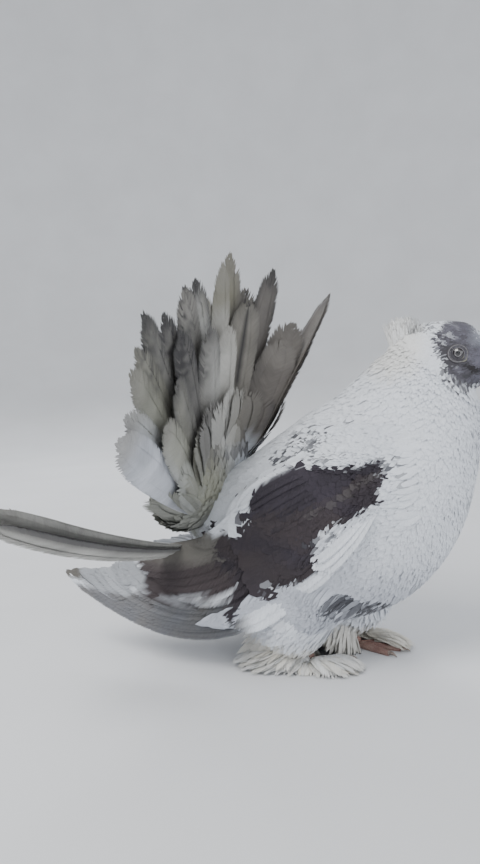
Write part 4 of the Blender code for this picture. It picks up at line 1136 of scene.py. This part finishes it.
def make_fan():
    draw = np.random.default_rng(8)
    feathers = Plumage("tail_feathers", 7, 0.95)
    stations = FAN_STATIONS[:, None]
    for turn, lean, length, sag, tilt in fan_feathers(draw):
        low, along, side = turn > LOW_FROM, fan_direction(turn, lean), fan_side(turn)
        root, tip = TAIL_ROOT + along * FAN_ROOT_REACH + LOW_ROOT * low, TAIL_ROOT + along * length
        over, tilt = facing(np.cross(side, along), (1, 0, 0)), math.radians(tilt)
        side = side * math.cos(tilt) + np.cross(along, side) * math.sin(tilt)
        over = facing(unit(np.cross(side, along)), over)
        bend, sweep = draw.uniform(-3.0, 2.0), draw.uniform(-2.5, 2.5)
        spine = root + (tip - root) * stations + np.array(sag) * bow(stations)
        spine = spine - over * bend * stations**3 + side * sweep * stations**2
        half = (LOW_HALF if low else FAN_HALF) * draw.uniform(0.9, 1.03)
        frames = np.broadcast_arrays(spine, side, over)
        form, paint = LOW_FORM if low else TAIL_FORM, tail_paint(turn, length, draw)
        feathers.add(frames, half, form, draw, paint, 0.08, 0.9, 0.9)
    return feathers.make()


# Coverts of the tail
# Rows of coverts: count, widest turn, length at the middle and the sides, lean from the fan's own,
# reach of the roots, half width.
UPPER_COVERTS = ((19, 72, 104, 98, 6, 44, 15),)
UNDER_COVERTS = ((13, 50, 98, 84, -19, 34, 12.5), (11, 46, 84, 72, -23, 34, 12))
COVERT_STATIONS = np.linspace(0, 1, 22)
COVERT_RISE = 3
# The soft base of the tail by reach: lean ahead of the fan and behind it, and widest turn.
BASE_ROWS = np.array((
    (20, 36, -62, 88), (34, 27, -50, 88), (46, 18, -40, 84), (58, 11, -33, 76), (70, 7, -27, 68),
))
BASE_REACHES = (21.0, 66.0)
BASE_SPACING = 2.0
# Colours of the base by turn: a slightly darkened white, then olive greys.
# All are painted shade, the olive greys with a greenish painted reflection.
BASE_SHADED_GROUNDS = np.array((
    (-95, 0.66, 0.69, 0.74), (2, 0.66, 0.69, 0.74), (14, 0.52, 0.53, 0.53), (34, 0.40, 0.40, 0.35),
    (52, 0.34, 0.34, 0.27), (72, 0.28, 0.285, 0.25), (95, 0.30, 0.305, 0.28),
))
NEAR_TURNS = np.linspace(-24, 24, 9)


def near_lean(turn):
    """Lean of the fan around a turn."""
    return np.mean(fan_lean(np.asarray(turn)[..., None] + NEAR_TURNS), -1)


def fan_middle(turn):
    """1 over the fan's middle turns, 0 at its sides."""
    return smooth(-75, -50, turn) * smooth(66, 56, turn)


def base_colour(points, ahead):
    """Colours of the tail's base from points, with painted shade. ahead is 1 on its front and 0 on its back.
    """
    turn = turn_at(points - TAIL_ROOT) + 5 * wavy(points, 26, 9)
    # Painted shade: a slightly darkened white, turning to the shaded olive greys on the front and near side.
    tint = mix(WHITE * 0.9, columns_at(BASE_SHADED_GROUNDS, turn), np.clip(ahead + smooth(25, 50, turn), 0, 1))
    tint = tint * (1 + 0.12 * wavy(points, 18, 12))[..., None]
    mark = np.hypot((points[..., 0] - 28) / 9, (points[..., 2] - 139) / 5) + 0.2 * wavy(points, 6, 3)
    return mix(tint, SMOKE * 1.6, 0.8 * (1 - smooth(0.7, 1.1, mark)) * ahead)


def covert_paint(turn, ahead, draw):
    shade = draw.uniform(0.93, 1.04)
    offset = draw.normal(0, 2, 3)

    def paint(points, t, q):
        # Painted shade comes in with the base's colours.
        tint = base_colour(points + offset, float(ahead)) * shade
        # The fan's grounds bring painted shade and painted sky light onto the upper coverts.
        tint = mix(tint, columns_at(FAN_GROUNDS_AND_LIGHT, turn) * 1.15, smooth(0.3, 0.6, t) * ahead * fan_middle(turn))
        rim = smooth(0.7, 0.95, np.abs(q)) * smooth(0.55, 0.8, t) * (abs(turn + 20) < 14) * ahead
        return mix(tint, SMOKE, rim * 0.6)

    return paint


def make_tail_coverts(name, tiers, ahead):
    draw = np.random.default_rng(19 if ahead else 18)
    feathers = Plumage(name, 8, 1.0)
    for count, widest, middle, outer, offset, root_reach, half in tiers:
        for across in 2 * np.arange(count) / (count - 1) - 1:
            turn = widest * across + draw.uniform(-1.5, 1.5)
            length = (middle + (outer - middle) * abs(across)) * draw.uniform(0.93, 1.05)
            lean = near_lean(turn) + offset
            lean = (max(lean, fan_lean(turn) + 3) if ahead else lean) + draw.uniform(-1, 1)
            root = TAIL_ROOT + fan_direction(turn, lean * 0.6 - fan_lean(turn)) * root_reach
            tip = TAIL_ROOT + fan_direction(turn, lean - fan_lean(turn)) * length
            way = unit(tip - root)
            side = square_to(fan_side(turn), way)
            over = facing(np.cross(side, way), (1 if ahead else -1, 0, 0))
            stations = COVERT_STATIONS[:, None]
            spine = root + (tip - root) * stations + over * COVERT_RISE * bow(stations)
            frames = np.broadcast_arrays(spine, side, over)
            paint = covert_paint(turn, ahead, draw)
            feathers.add(frames, half * draw.uniform(0.92, 1.06), COVERT_FORM, draw, paint, 0.2, 0.2, 1.0)
    return feathers.make()


def base_point(reach, around):
    """A point of the tail's soft base and its turn: reach from the tail's root, turn round the base."""
    ahead, behind, widest = np.moveaxis(columns_at(BASE_ROWS, reach), -1, 0)
    rise, across = np.cos(around), np.sin(around)
    turn = widest * np.sign(across) * np.abs(across) ** 0.85
    offset = np.where(rise > 0, ahead, -behind) * np.sign(rise) * np.abs(rise) ** 0.6
    way = fan_direction(turn, near_lean(turn) + offset - fan_lean(turn))
    return TAIL_ROOT + way * reach[..., None], turn


def tail_base():
    """Small feathers that cover the tail's base all round."""
    draw = np.random.default_rng(27)
    first, last = BASE_REACHES
    grid = base_point(*grid_of((first, last, 60), (0, TAU, 181)))[0]
    row, column = places_on(grid, BASE_SPACING, 0.37)
    reach, around = first + (last - first) * row, TAU * column
    count = len(reach)
    root, turn = base_point(reach, around)
    lie = unit(base_point(reach + 1, around)[0] - root)
    beside = base_point(reach, around + 0.03)[0] - base_point(reach, around - 0.03)[0]
    rise, across, angle = np.cos(around), np.sin(around), np.radians(turn)
    outward = np.stack([rise, -np.cos(angle) * across, -np.sin(angle) * across], -1)
    normal = facing(unit(np.cross(lie, beside)), outward)
    lie = swung(lie, normal, draw.normal(0, 0.14, count) + 0.15 * wavy(root, 20, 33))
    length = np.interp(reach, BASE_REACHES, (13, 18)) * draw.uniform(0.85, 1.15, count)
    half = length * draw.uniform(0.17, 0.24, count)
    ahead = smooth(-0.35, 0.1, rise)
    # Painted shade comes in with the base's colours.
    tint = base_colour(root + lie * 6 + draw.normal(0, 1.5, (count, 3)), ahead)
    outer = smooth(38, 60, reach) * ahead * fan_middle(turn)
    # The fan's grounds bring painted shade onto the base's outer front.
    tint = mix(tint, columns_at(FAN_GROUNDS_AND_LIGHT, turn) * 1.1, outer) * draw.uniform(0.96, 1.04, count)[:, None]
    form = (root - normal * 0.8, normal, lie, length, half, draw.uniform(0.04, 0.08, count))
    uv = patch(row, column, 0.77, 0.02, 0.2, 0.96)
    # Painted shade: each feather is darker at its root, where the feathers over it shade it.
    return tufts("tail_base_coat", FINE, *form, (tint * 0.95, tint), uv, 28)


# Lids: radius from the eye's middle, height off the eyeball or the head, and 1 where they are pale.
LID_ROWS = (
    (3.2, -0.9, 0), (3.3, 0.22, 0), (3.65, 0.5, 1), (4.05, 0.28, 0), (4.5, 0.55, 1), (4.95, 0.15, 0),
    (5.4, 0.4, 1), (6.0, 0.1, 0), (6.7, -0.5, 0), (6.7, -1.6, 0), (3.6, -2.2, 0),
)
LID_STEPS = 56
LID_CORNER = 5.5
LID_PALE = np.array((0.20, 0.195, 0.205))
LID_DARK = np.array((0.04, 0.036, 0.042))
LID_MOSS = np.array((0.24, 0.24, 0.14))


def make_lids(name, side):
    """The bare rings round an eye, closed to a ring-shaped form."""
    head = surface_tree(body_grid(11, 60, 72))
    points, tints = [], []
    for radius, height, pale in LID_ROWS:
        ball = EYE_AT[1] + math.sqrt(max(EYE_RADIUS**2 - radius**2, 0.0))
        share = float(smooth(3.6, 5.2, radius))
        for turn in TAU * np.arange(LID_STEPS) / LID_STEPS:
            corner = math.exp(-((((turn - LID_CORNER + math.pi) % TAU) - math.pi) / 0.35) ** 2)
            wide = radius * (1 + 0.16 * corner + 0.03 * math.cos(2 * turn))
            x, z = EYE_AT[0] + wide * math.cos(turn), EYE_AT[2] + wide * math.sin(turn)
            surface = side_hit(head, x, z) or EYE_AT[1]
            points.append((x, (ball * (1 - share) + surface * share + height) * side, z))
            colour = LID_PALE * (0.8 + 0.2 * math.sin(turn * 17 + radius)) if pale else LID_DARK
            tints.append(mix(colour, LID_MOSS, 0.6 * corner * pale))
    first = np.arange(LID_STEPS)
    last = first + (len(LID_ROWS) - 1) * LID_STEPS
    closing = np.stack([last, np.roll(last, -1), np.roll(first, -1), first], 1)
    faces = np.concatenate([grid_faces(len(LID_ROWS), LID_STEPS, True), closing])
    faces = faces if side > 0 else faces[:, ::-1]
    u, v = grid_of((0, 1, len(LID_ROWS)), (0, 1, LID_STEPS))
    uv = patch(u.ravel(), v.ravel())
    return make_object(f"lids_{name}", np.array(points), faces, np.array(tints), None, uv)


# Crest
# Rows of the crest: x, z, length and lean in degrees.
CREST_ROWS = np.array((
    (133.0, 213, 17, 8), (137.5, 219, 14.5, 7), (143.0, 221, 13.5, 0), (148.0, 221.5, 11, -12),
))
CREST_REACH, CREST_DROP, CREST_FLARE, CREST_WRAP = 10.5, 3.0, 0.22, 4.5
CREST_COUNT = 2200


def make_crest():
    """A dense tuft of small upright feathers across the back of the crown."""
    draw = np.random.default_rng(5)
    count = CREST_COUNT
    row, across = even(count, 0.5)
    across = 2 * across - 1
    x, z, length, lean = np.moveaxis(spline(CREST_ROWS, row * (len(CREST_ROWS) - 1)), -1, 0)
    x = x + CREST_WRAP * across**2
    root = np.stack([x, across * CREST_REACH, z - CREST_DROP * across**2 - 1.5], -1)
    lean = np.tan(np.radians(lean + draw.normal(0, 6, count)))
    flare = CREST_FLARE * across + draw.normal(0, 0.16, count)
    lie = unit(np.stack([-lean, flare, 1 + 0 * lean], -1))
    clump = 1 + 0.13 * wavy(root, 4.5, 8)
    length = length * (1 - 0.2 * across**2) * draw.uniform(0.62, 1.05, count) * clump
    turn = draw.uniform(0, TAU, count)
    normal = square_to(np.stack([np.cos(turn), np.sin(turn), 0 * turn], -1), lie)
    outward = unit(np.stack([x - 140, across * 7, 0 * x + 3], -1))
    tint = mix(WHITE, CREAM, 0.3 + 0.2 * draw.random(count)) * draw.uniform(0.98, 1.07, count)[:, None]
    half = draw.uniform(0.8, 1.3, count)
    # Painted shade: each feather is darker at its root, in the shade of the tuft.
    form = (root, normal, lie, length, half, draw.uniform(-0.06, 0.06, count), (tint * 0.95, tint))
    uv = patch(row, across, 0.05, 0.5, 0.9, 0.45)
    return tufts("crest_feathers", FINE, *form, uv, 6, soft=outward, thick=0.2, fluffy=True)


# Foot feathers: turn from straight ahead, height of the root, reach and height of the tip.
MUFF_VANES = (
    (-16, 6.0, 23, 2.8), (-4, 6.4, 25, 3.2), (10, 6.8, 24, 3.6), (25, 7.0, 22, 3.8), (42, 7.2, 19, 3.6),
    (8, 3.5, 25, 1.6), (20, 3.7, 23, 1.5), (34, 4.0, 20, 1.4), (48, 4.2, 17, 1.3), (62, 4.4, 14, 1.2),
    (77, 4.6, 13, 1.2), (92, 4.8, 12, 1.2), (106, 5.1, 14, 1.2), (118, 5.4, 17, 1.3), (127, 5.9, 22, 1.4),
    (136, 6.4, 27, 1.6), (143, 7.2, 32, 1.9), (150, 8.0, 37, 2.2), (157, 9.0, 39, 3.0), (163, 10.0, 41, 3.8),
    (108, 10.4, 18, 5.4), (118, 11.0, 20, 5.6), (129, 11.7, 24, 6.0), (140, 12.5, 27, 6.4),
    (149, 13.2, 31, 7.4), (158, 14.0, 34, 8.6), (60, 9.0, 12, 5.5), (85, 9.6, 12, 5.0),
    (150, 16.0, 27, 10.5), (132, 15.5, 22, 9.0),
)
MUFF_STATIONS = np.linspace(0, 1, 16)
MUFF_OUT, MUFF_HALF = 7.0, 8.2
MUFF_RISE = np.array((0.0, 0.0, 2.8))
# How far low feathers' roots lie ahead, at a turn of 0 and of 160, and the height of a low tip.
TOE_ROOTS = (10, -9)
LOW_TIP = 5.0


def muff_paint(shade, warm):
    def paint(points, t, q):
        tint = mix(WHITE, CREAM, np.full(len(t), warm)) * shade
        return mix(tint, PALE, 0.25 * (1 - smooth(0, 0.5, t)))

    return paint


def make_muff(name, side):
    draw = np.random.default_rng(31)
    x, y = FEET[name]
    first, last = TOE_ROOTS
    feathers = Plumage(f"muff_feathers_{name}", 5, 0.65)
    stations = MUFF_STATIONS[:, None]
    for turn, root_height, reach, tip_height in MUFF_VANES:
        angle = math.radians(turn + draw.uniform(-3, 3))
        ahead = np.array((math.cos(angle), side * math.sin(angle), 0.0))
        shift = first + (last - first) * turn / 160 if tip_height < LOW_TIP else last
        root = np.array((x + shift, y + side * MUFF_OUT, root_height))
        tip = root + ahead * reach * draw.uniform(0.95, 1.04)
        tip[2] = tip_height
        half = MUFF_HALF * draw.uniform(0.88, 1.06)
        shade = draw.uniform(0.93, 1.02)
        warm = draw.uniform(0.4, 0.9) if name == "right" else 1.0
        spine = root + (tip - root) * stations + MUFF_RISE * bow(stations)
        way = unit(np.gradient(spine, axis=0))
        beside = square_to(np.array((-ahead[1], ahead[0], 0.0)) * side, way)
        over = facing(np.cross(beside, way), (0, 0, 1))
        feathers.add((spine, beside, over), half, MUFF_FORM, draw, muff_paint(shade, warm), 0.15, 0.3, 0.2)
    return feathers.make()


# Materials
class Nodes:
    """A material and its nodes. Inputs are values or the outputs of other nodes."""

    def __init__(self, name, looks):
        self.material = bpy.data.materials.new(name)
        self.material.use_nodes = True
        self.tree = self.material.node_tree
        self.shader = self.tree.nodes["Principled BSDF"]
        self.set(self.shader, looks)

    def set(self, node, inputs):
        for key, value in inputs.items():
            if isinstance(value, bpy.types.NodeSocket):
                self.tree.links.new(value, node.inputs[key])
            else:
                node.inputs[key].default_value = value

    def add(self, kind, inputs, output=0, **settings):
        """An output of a new node."""
        node = self.tree.nodes.new("ShaderNode" + kind)
        for key, value in settings.items():
            setattr(node, key, value)
        self.set(node, inputs)
        return node.outputs[output]

    def math(self, operation, *values):
        return self.add("Math", dict(enumerate(values)), operation=operation)

    def scaled(self, value, factor, offset=0.0):
        product = self.math("MULTIPLY", value, factor)
        return self.math("ADD", product, offset) if offset else product

    def place(self):
        return self.add("TexCoord", {}, "Object")

    def attribute(self, name, output):
        return self.add("Attribute", {}, output, attribute_name=name)

    def noise(self, scale, detail=3.0, place=None):
        inputs = {"Vector": place or self.place(), "Scale": scale, "Detail": detail}
        return self.add("TexNoise", inputs, "Fac")

    def ramp(self, factor, stops):
        """Colours at places from 0 to 1."""
        colour = self.add("ValToRGB", {"Fac": factor}, "Color")
        elements = colour.node.color_ramp.elements
        while len(elements) < len(stops):
            elements.new(0.5)
        for element, (place, value) in zip(elements, stops):
            element.position, element.color = place, (*value, 1)
        return colour

    def millimetres(self, axis, origin):
        """Distance along an axis from a point of the frame."""
        axis = [float(value / MM) for value in axis]
        along = self.add("VectorMath", {0: self.place(), 1: axis}, "Value", operation="DOT_PRODUCT")
        return self.math("SUBTRACT", along, float(np.dot(origin, axis)))

    def bump(self, height, strength, distance=0.0003):
        inputs = {"Strength": strength, "Distance": distance, "Height": height}
        self.set(self.shader, {"Normal": self.add("Bump", inputs)})

    def paint(self, colour, shade):
        """The colour times a shade, on the shader."""
        colour = self.add("VectorMath", {0: colour, "Scale": shade}, operation="SCALE")
        self.set(self.shader, {"Base Color": colour})


def plumage():
    """Feathers: their tint with fine barbs and a little variation each."""
    looks = {"Roughness": 0.78, "Sheen Weight": 0.15, "Sheen Roughness": 0.5, "Specular IOR Level": 0.25}
    nodes = Nodes("feathers", looks)
    along, across, order = nodes.add("SeparateXYZ", {0: nodes.attribute("vane", "Vector")}).node.outputs
    slant = nodes.math("SUBTRACT", along, nodes.scaled(nodes.math("ABSOLUTE", across), 0.9))
    wave = nodes.math("SINE", nodes.scaled(slant, 7.5))
    place = {0: nodes.scaled(slant, 1.4), 1: nodes.scaled(across, 0.12), 2: nodes.scaled(order, 40.0)}
    noise = nodes.noise(1.0, place=nodes.add("CombineXYZ", place))
    streak = nodes.scaled(nodes.math("SUBTRACT", noise, 0.5), 0.35)
    shade = nodes.math("ADD", nodes.math("ADD", nodes.scaled(wave, 0.06), streak), 1.0)
    nodes.paint(nodes.attribute("tint", "Color"), shade)
    nodes.bump(nodes.math("ADD", wave, nodes.scaled(streak, 4.0)), 0.25)
    return nodes.material


IRIS_SPAN = 5.0
IRIS_STOPS = (
    (0.0, (0.004, 0.004, 0.005)), (0.27, (0.004, 0.004, 0.005)), (0.31, (0.13, 0.125, 0.13)),
    (0.37, (0.17, 0.165, 0.17)), (0.43, (0.06, 0.055, 0.06)), (0.5, (0.014, 0.012, 0.014)),
    (1.0, (0.01, 0.009, 0.01)),
)


def eye_material(name, side):
    """Black pupil, pearl-grey iris with fine rays, and a dark rim, under a wet coat."""
    nodes = Nodes(f"eye_{name}", {"Roughness": 0.12, "Coat Weight": 1.0, "Coat Roughness": 0.03})
    centre = to_frame(EYE_AT * (1, side, 1))
    ahead, up = (nodes.millimetres(axis, centre) for axis in ((1, 0, 0), (0, 0, 1)))
    squares = nodes.math("ADD", *(nodes.math("POWER", way, 2.0) for way in (ahead, up)))
    radius = nodes.math("DIVIDE", nodes.math("SQRT", squares), IRIS_SPAN)
    turn = nodes.math("ARCTAN2", up, ahead)
    rays = nodes.scaled(nodes.math("SINE", nodes.scaled(turn, 34.0)), 0.12)
    shade = nodes.math("ADD", nodes.math("ADD", rays, nodes.scaled(nodes.noise(1800.0), 0.35)), 0.85)
    nodes.paint(nodes.ramp(radius, IRIS_STOPS), shade)
    return nodes.material


def bare_skin():
    """Wrinkled bare skin, in its tint."""
    nodes = Nodes("bare_skin", {"Roughness": 0.55})
    grain = nodes.noise(2600.0)
    nodes.paint(nodes.attribute("tint", "Color"), nodes.scaled(grain, 0.5, 0.75))
    nodes.bump(grain, 0.4)
    return nodes.material


BILL_PITCH = math.radians(12)
BILL_LENGTH = 22.0
BILL_STOPS = (
    (0.0, (0.20, 0.17, 0.17)), (0.3, (0.30, 0.25, 0.24)), (0.7, (0.22, 0.18, 0.17)),
    (1.0, (0.06, 0.05, 0.05)),
)
CERE_LENGTH = 9.4
CERE_HEIGHT = 2.6
CERE_COLOUR = (0.46, 0.44, 0.44, 1)
# The mix node's sockets for colours, by number: factor, both colours and the result.
MIX_FACTOR, MIX_FIRST, MIX_SECOND, MIX_RESULT = 0, 6, 7, 2


def bill_material():
    """Horn that darkens to its tip, with a chalky cere over its base."""
    nodes = Nodes("bill_horn", {"Roughness": 0.42})
    base, ahead, drop = to_frame(BILL_BASE), math.cos(BILL_PITCH), math.sin(BILL_PITCH)
    along, height = (nodes.millimetres(axis, base) for axis in ((ahead, 0, -drop), (drop, 0, ahead)))
    horn = nodes.ramp(nodes.math("DIVIDE", along, BILL_LENGTH), BILL_STOPS)
    grain = nodes.noise(900.0, 4.0)
    chalk = nodes.math("LESS_THAN", nodes.math("ADD", along, nodes.scaled(grain, 1.5)), CERE_LENGTH)
    raised = nodes.math("GREATER_THAN", nodes.math("SUBTRACT", height, grain), CERE_HEIGHT)
    cere = {MIX_FACTOR: nodes.math("MULTIPLY", chalk, raised), MIX_FIRST: horn, MIX_SECOND: CERE_COLOUR}
    colour = nodes.add("Mix", cere, MIX_RESULT, data_type="RGBA")
    nodes.paint(colour, nodes.scaled(grain, 0.4, 0.8))
    nodes.bump(grain, 0.15)
    return nodes.material


def scaly_skin():
    """Pinkish skin of shanks and toes, with small scales."""
    nodes = Nodes("toe_skin", {"Roughness": 0.5})
    cells = {"Vector": nodes.place(), "Scale": 620.0}
    gap = nodes.add("TexVoronoi", cells, "Distance", feature="DISTANCE_TO_EDGE")
    edge = nodes.math("MINIMUM", nodes.scaled(gap, 5.0), 1.0)
    stops = ((0.25, (0.22, 0.12, 0.10)), (0.5, (0.33, 0.19, 0.16)), (0.75, (0.42, 0.29, 0.24)))
    nodes.paint(nodes.ramp(nodes.noise(120.0), stops), nodes.scaled(edge, 0.35, 0.65))
    nodes.bump(edge, 0.6, 0.0002)
    return nodes.material


def claw_horn():
    """Satin horn with fine grain."""
    nodes = Nodes("claw_horn", {"Roughness": 0.35})
    grain = nodes.noise(700.0, 4.0)
    stops = ((0.3, (0.10, 0.075, 0.065)), (0.55, (0.24, 0.19, 0.16)), (0.8, (0.36, 0.30, 0.26)))
    nodes.paint(nodes.ramp(grain, stops), nodes.math("ADD", grain, 0.5))
    nodes.bump(grain, 0.1)
    return nodes.material


FLOOR_COLOUR = np.array((0.74, 0.75, 0.77))
FLOOR_VARIATION = 0.03


def floor_paint():
    """Matt paint with faint mottling."""
    nodes = Nodes("floor_paint", {"Roughness": 0.85})
    noise = nodes.noise(6.0, 4.0)
    stops = ((0.3, FLOOR_COLOUR * (1 - FLOOR_VARIATION)), (0.7, FLOOR_COLOUR * (1 + FLOOR_VARIATION)))
    nodes.set(nodes.shader, {"Base Color": nodes.ramp(noise, stops)})
    nodes.bump(noise, 0.05, 0.0004)
    return nodes.material


def dress(obj, material):
    obj.data.materials.clear()
    obj.data.materials.append(material)


def dress_node(name, material):
    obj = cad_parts[name]
    for slot in obj.material_slots:
        slot.material = material


# Scene
# The photograph's view: angles in degrees, lens for a sensor of SENSOR millimetres, place in metres.
AZIMUTH, PITCH, ROLL = 21, 3.6, 2.3
SENSOR = 36.0
LENS = 700 / 864 * SENSOR
CAMERA_AT = (0.204415, -0.472587, 0.190505)
# Lights: name, place, size, power and colour.
LIGHTS = (
    ("key", (-0.5, -1.3, 1.7), 1.2, 34, (1.0, 0.99, 0.97)),
    ("fill", (1.5, -0.9, 0.8), 1.4, 12, (0.93, 0.96, 1.0)),
    ("rim", (-0.9, 1.3, 1.2), 1.0, 14, (0.95, 0.97, 1.0)),
)
LIGHTS_AIM = (0, 0, 0.13)
SKY = {"Color": (0.86, 0.88, 0.9, 1), "Strength": 0.75}
# Profile of the studio's bowl: distance from its middle and height, in metres.
BOWL = np.array((
    (0, 0), (0.5, 0), (1.0, 0), (1.5, 0), (1.9, 0.04), (2.3, 0.2), (2.65, 0.6), (2.8, 1.2), (2.85, 2.1),
))
BOWL_RINGS, BOWL_SIDES = 49, 96


def make_camera():
    azimuth, pitch, roll = (math.radians(angle) for angle in (AZIMUTH, PITCH, ROLL))
    flat = math.cos(pitch)
    look = Vector((-math.sin(azimuth) * flat, math.cos(azimuth) * flat, -math.sin(pitch)))
    right = Vector((math.cos(azimuth), math.sin(azimuth), 0))
    up = right.cross(look)
    right_rolled = right * math.cos(roll) - up * math.sin(roll)
    up_rolled = right * math.sin(roll) + up * math.cos(roll)
    data = bpy.data.cameras.new("camera")
    data.sensor_fit = "VERTICAL"
    data.sensor_height = SENSOR
    data.lens = LENS
    data.clip_start = 0.01
    camera = add_object("camera", data)
    turn = Matrix((right_rolled, up_rolled, -look)).transposed().to_4x4()
    camera.matrix_world = Matrix.Translation(Vector(CAMERA_AT) + Vector(SHIFT)) @ turn
    bpy.context.scene.camera = camera


def make_stage():
    """A pale floor that curves up into its backdrop."""
    profile = spline(BOWL, np.linspace(0, len(BOWL) - 1, BOWL_RINGS)[1:])
    turns = np.linspace(0, TAU, BOWL_SIDES, endpoint=False)
    rings = [(r * math.cos(t), r * math.sin(t), max(z, 0.0)) for r, z in profile for t in turns]
    faces = grid_faces(len(profile), BOWL_SIDES, True)[:, ::-1].tolist()
    faces += [(len(rings), i, (i + 1) % BOWL_SIDES) for i in range(BOWL_SIDES)]
    mesh = bpy.data.meshes.new("floor")
    mesh.from_pydata([*rings, (0, 0, 0)], [], faces)
    mesh.shade_smooth()
    floor = add_object("floor", mesh)
    dress(floor, floor_paint())


def make_lights():
    for name, at, size, power, colour in LIGHTS:
        data = bpy.data.lights.new(name, "AREA")
        data.shape = "DISK"
        data.size = size
        data.energy = power
        data.color = colour
        light = add_object(name, data)
        light.location = at
        light.rotation_euler = (Vector(LIGHTS_AIM) - Vector(at)).to_track_quat("-Z", "Y").to_euler()
    world = bpy.data.worlds.new("studio")
    world.use_nodes = True
    for key, value in SKY.items():
        world.node_tree.nodes["Background"].inputs[key].default_value = value
    bpy.context.scene.world = world


def place(piece, material, slot, *replaced):
    dress(piece, material)
    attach(piece, "root")
    if replaced:
        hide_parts(*replaced)


def build_feathers():
    feather = plumage()

    def cover(slot, pieces, *replaced):
        """Places pieces of plumage. The first takes the place of the solids named."""
        first, *others = pieces
        place(first, feather, slot, *replaced)
        for piece in others:
            place(piece, feather, slot)

    cover("plumage_white", [make_skin()], "torso", "neck", "head", "thigh_right", "thigh_left")
    cover("plumage_white", [body_coat(*stretch) for stretch in STRETCHES])
    cover("plumage_white", [thigh_coat(index, name) for index, (name, _) in enumerate(SIDES)])
    wing = Wing()
    for name, side in SIDES:
        part = (wing, name, side)
        pieces = (*wing_feathers(*part), lesser_coverts(*part), wing_shell(*part))
        cover("plumage_wing", pieces, f"wing_{name}")
        cover("plumage_white", [drape_coat(*part)])
        cover("plumage_white", make_muff(name, side), f"muff_{name}")
    cover("plumage_tail", make_fan(), "tail_fan")
    for key, tiers, ahead in (("upper", UPPER_COVERTS, True), ("under", UNDER_COVERTS, False)):
        pieces = make_tail_coverts(f"tail_coverts_{key}_feathers", tiers, ahead)
        cover("plumage_white", pieces, f"tail_coverts_{key}")
    cover("plumage_white", [tail_base()])
    cover("plumage_white", [make_crest()], "crest")


def dress_solids():
    """Materials of the solids that stay: eyes, bill, feet and claws."""
    horn, claw, scales, bare_rings = bill_material(), claw_horn(), scaly_skin(), bare_skin()
    for name, side in SIDES:
        dress_node(f"eye_{name}", eye_material(name, side))
        dress_node(f"foot_{name}", scales)
        place(make_lids(name, side), bare_rings, "skin")
        for toe in range(4):
            dress_node(f"claw_{name}_{toe}", claw)
    for name in ("bill_upper", "bill_lower"):
        dress_node(name, horn)


def build():
    make_camera()
    build_feathers()
    dress_solids()
    make_stage()
    make_lights()


build()
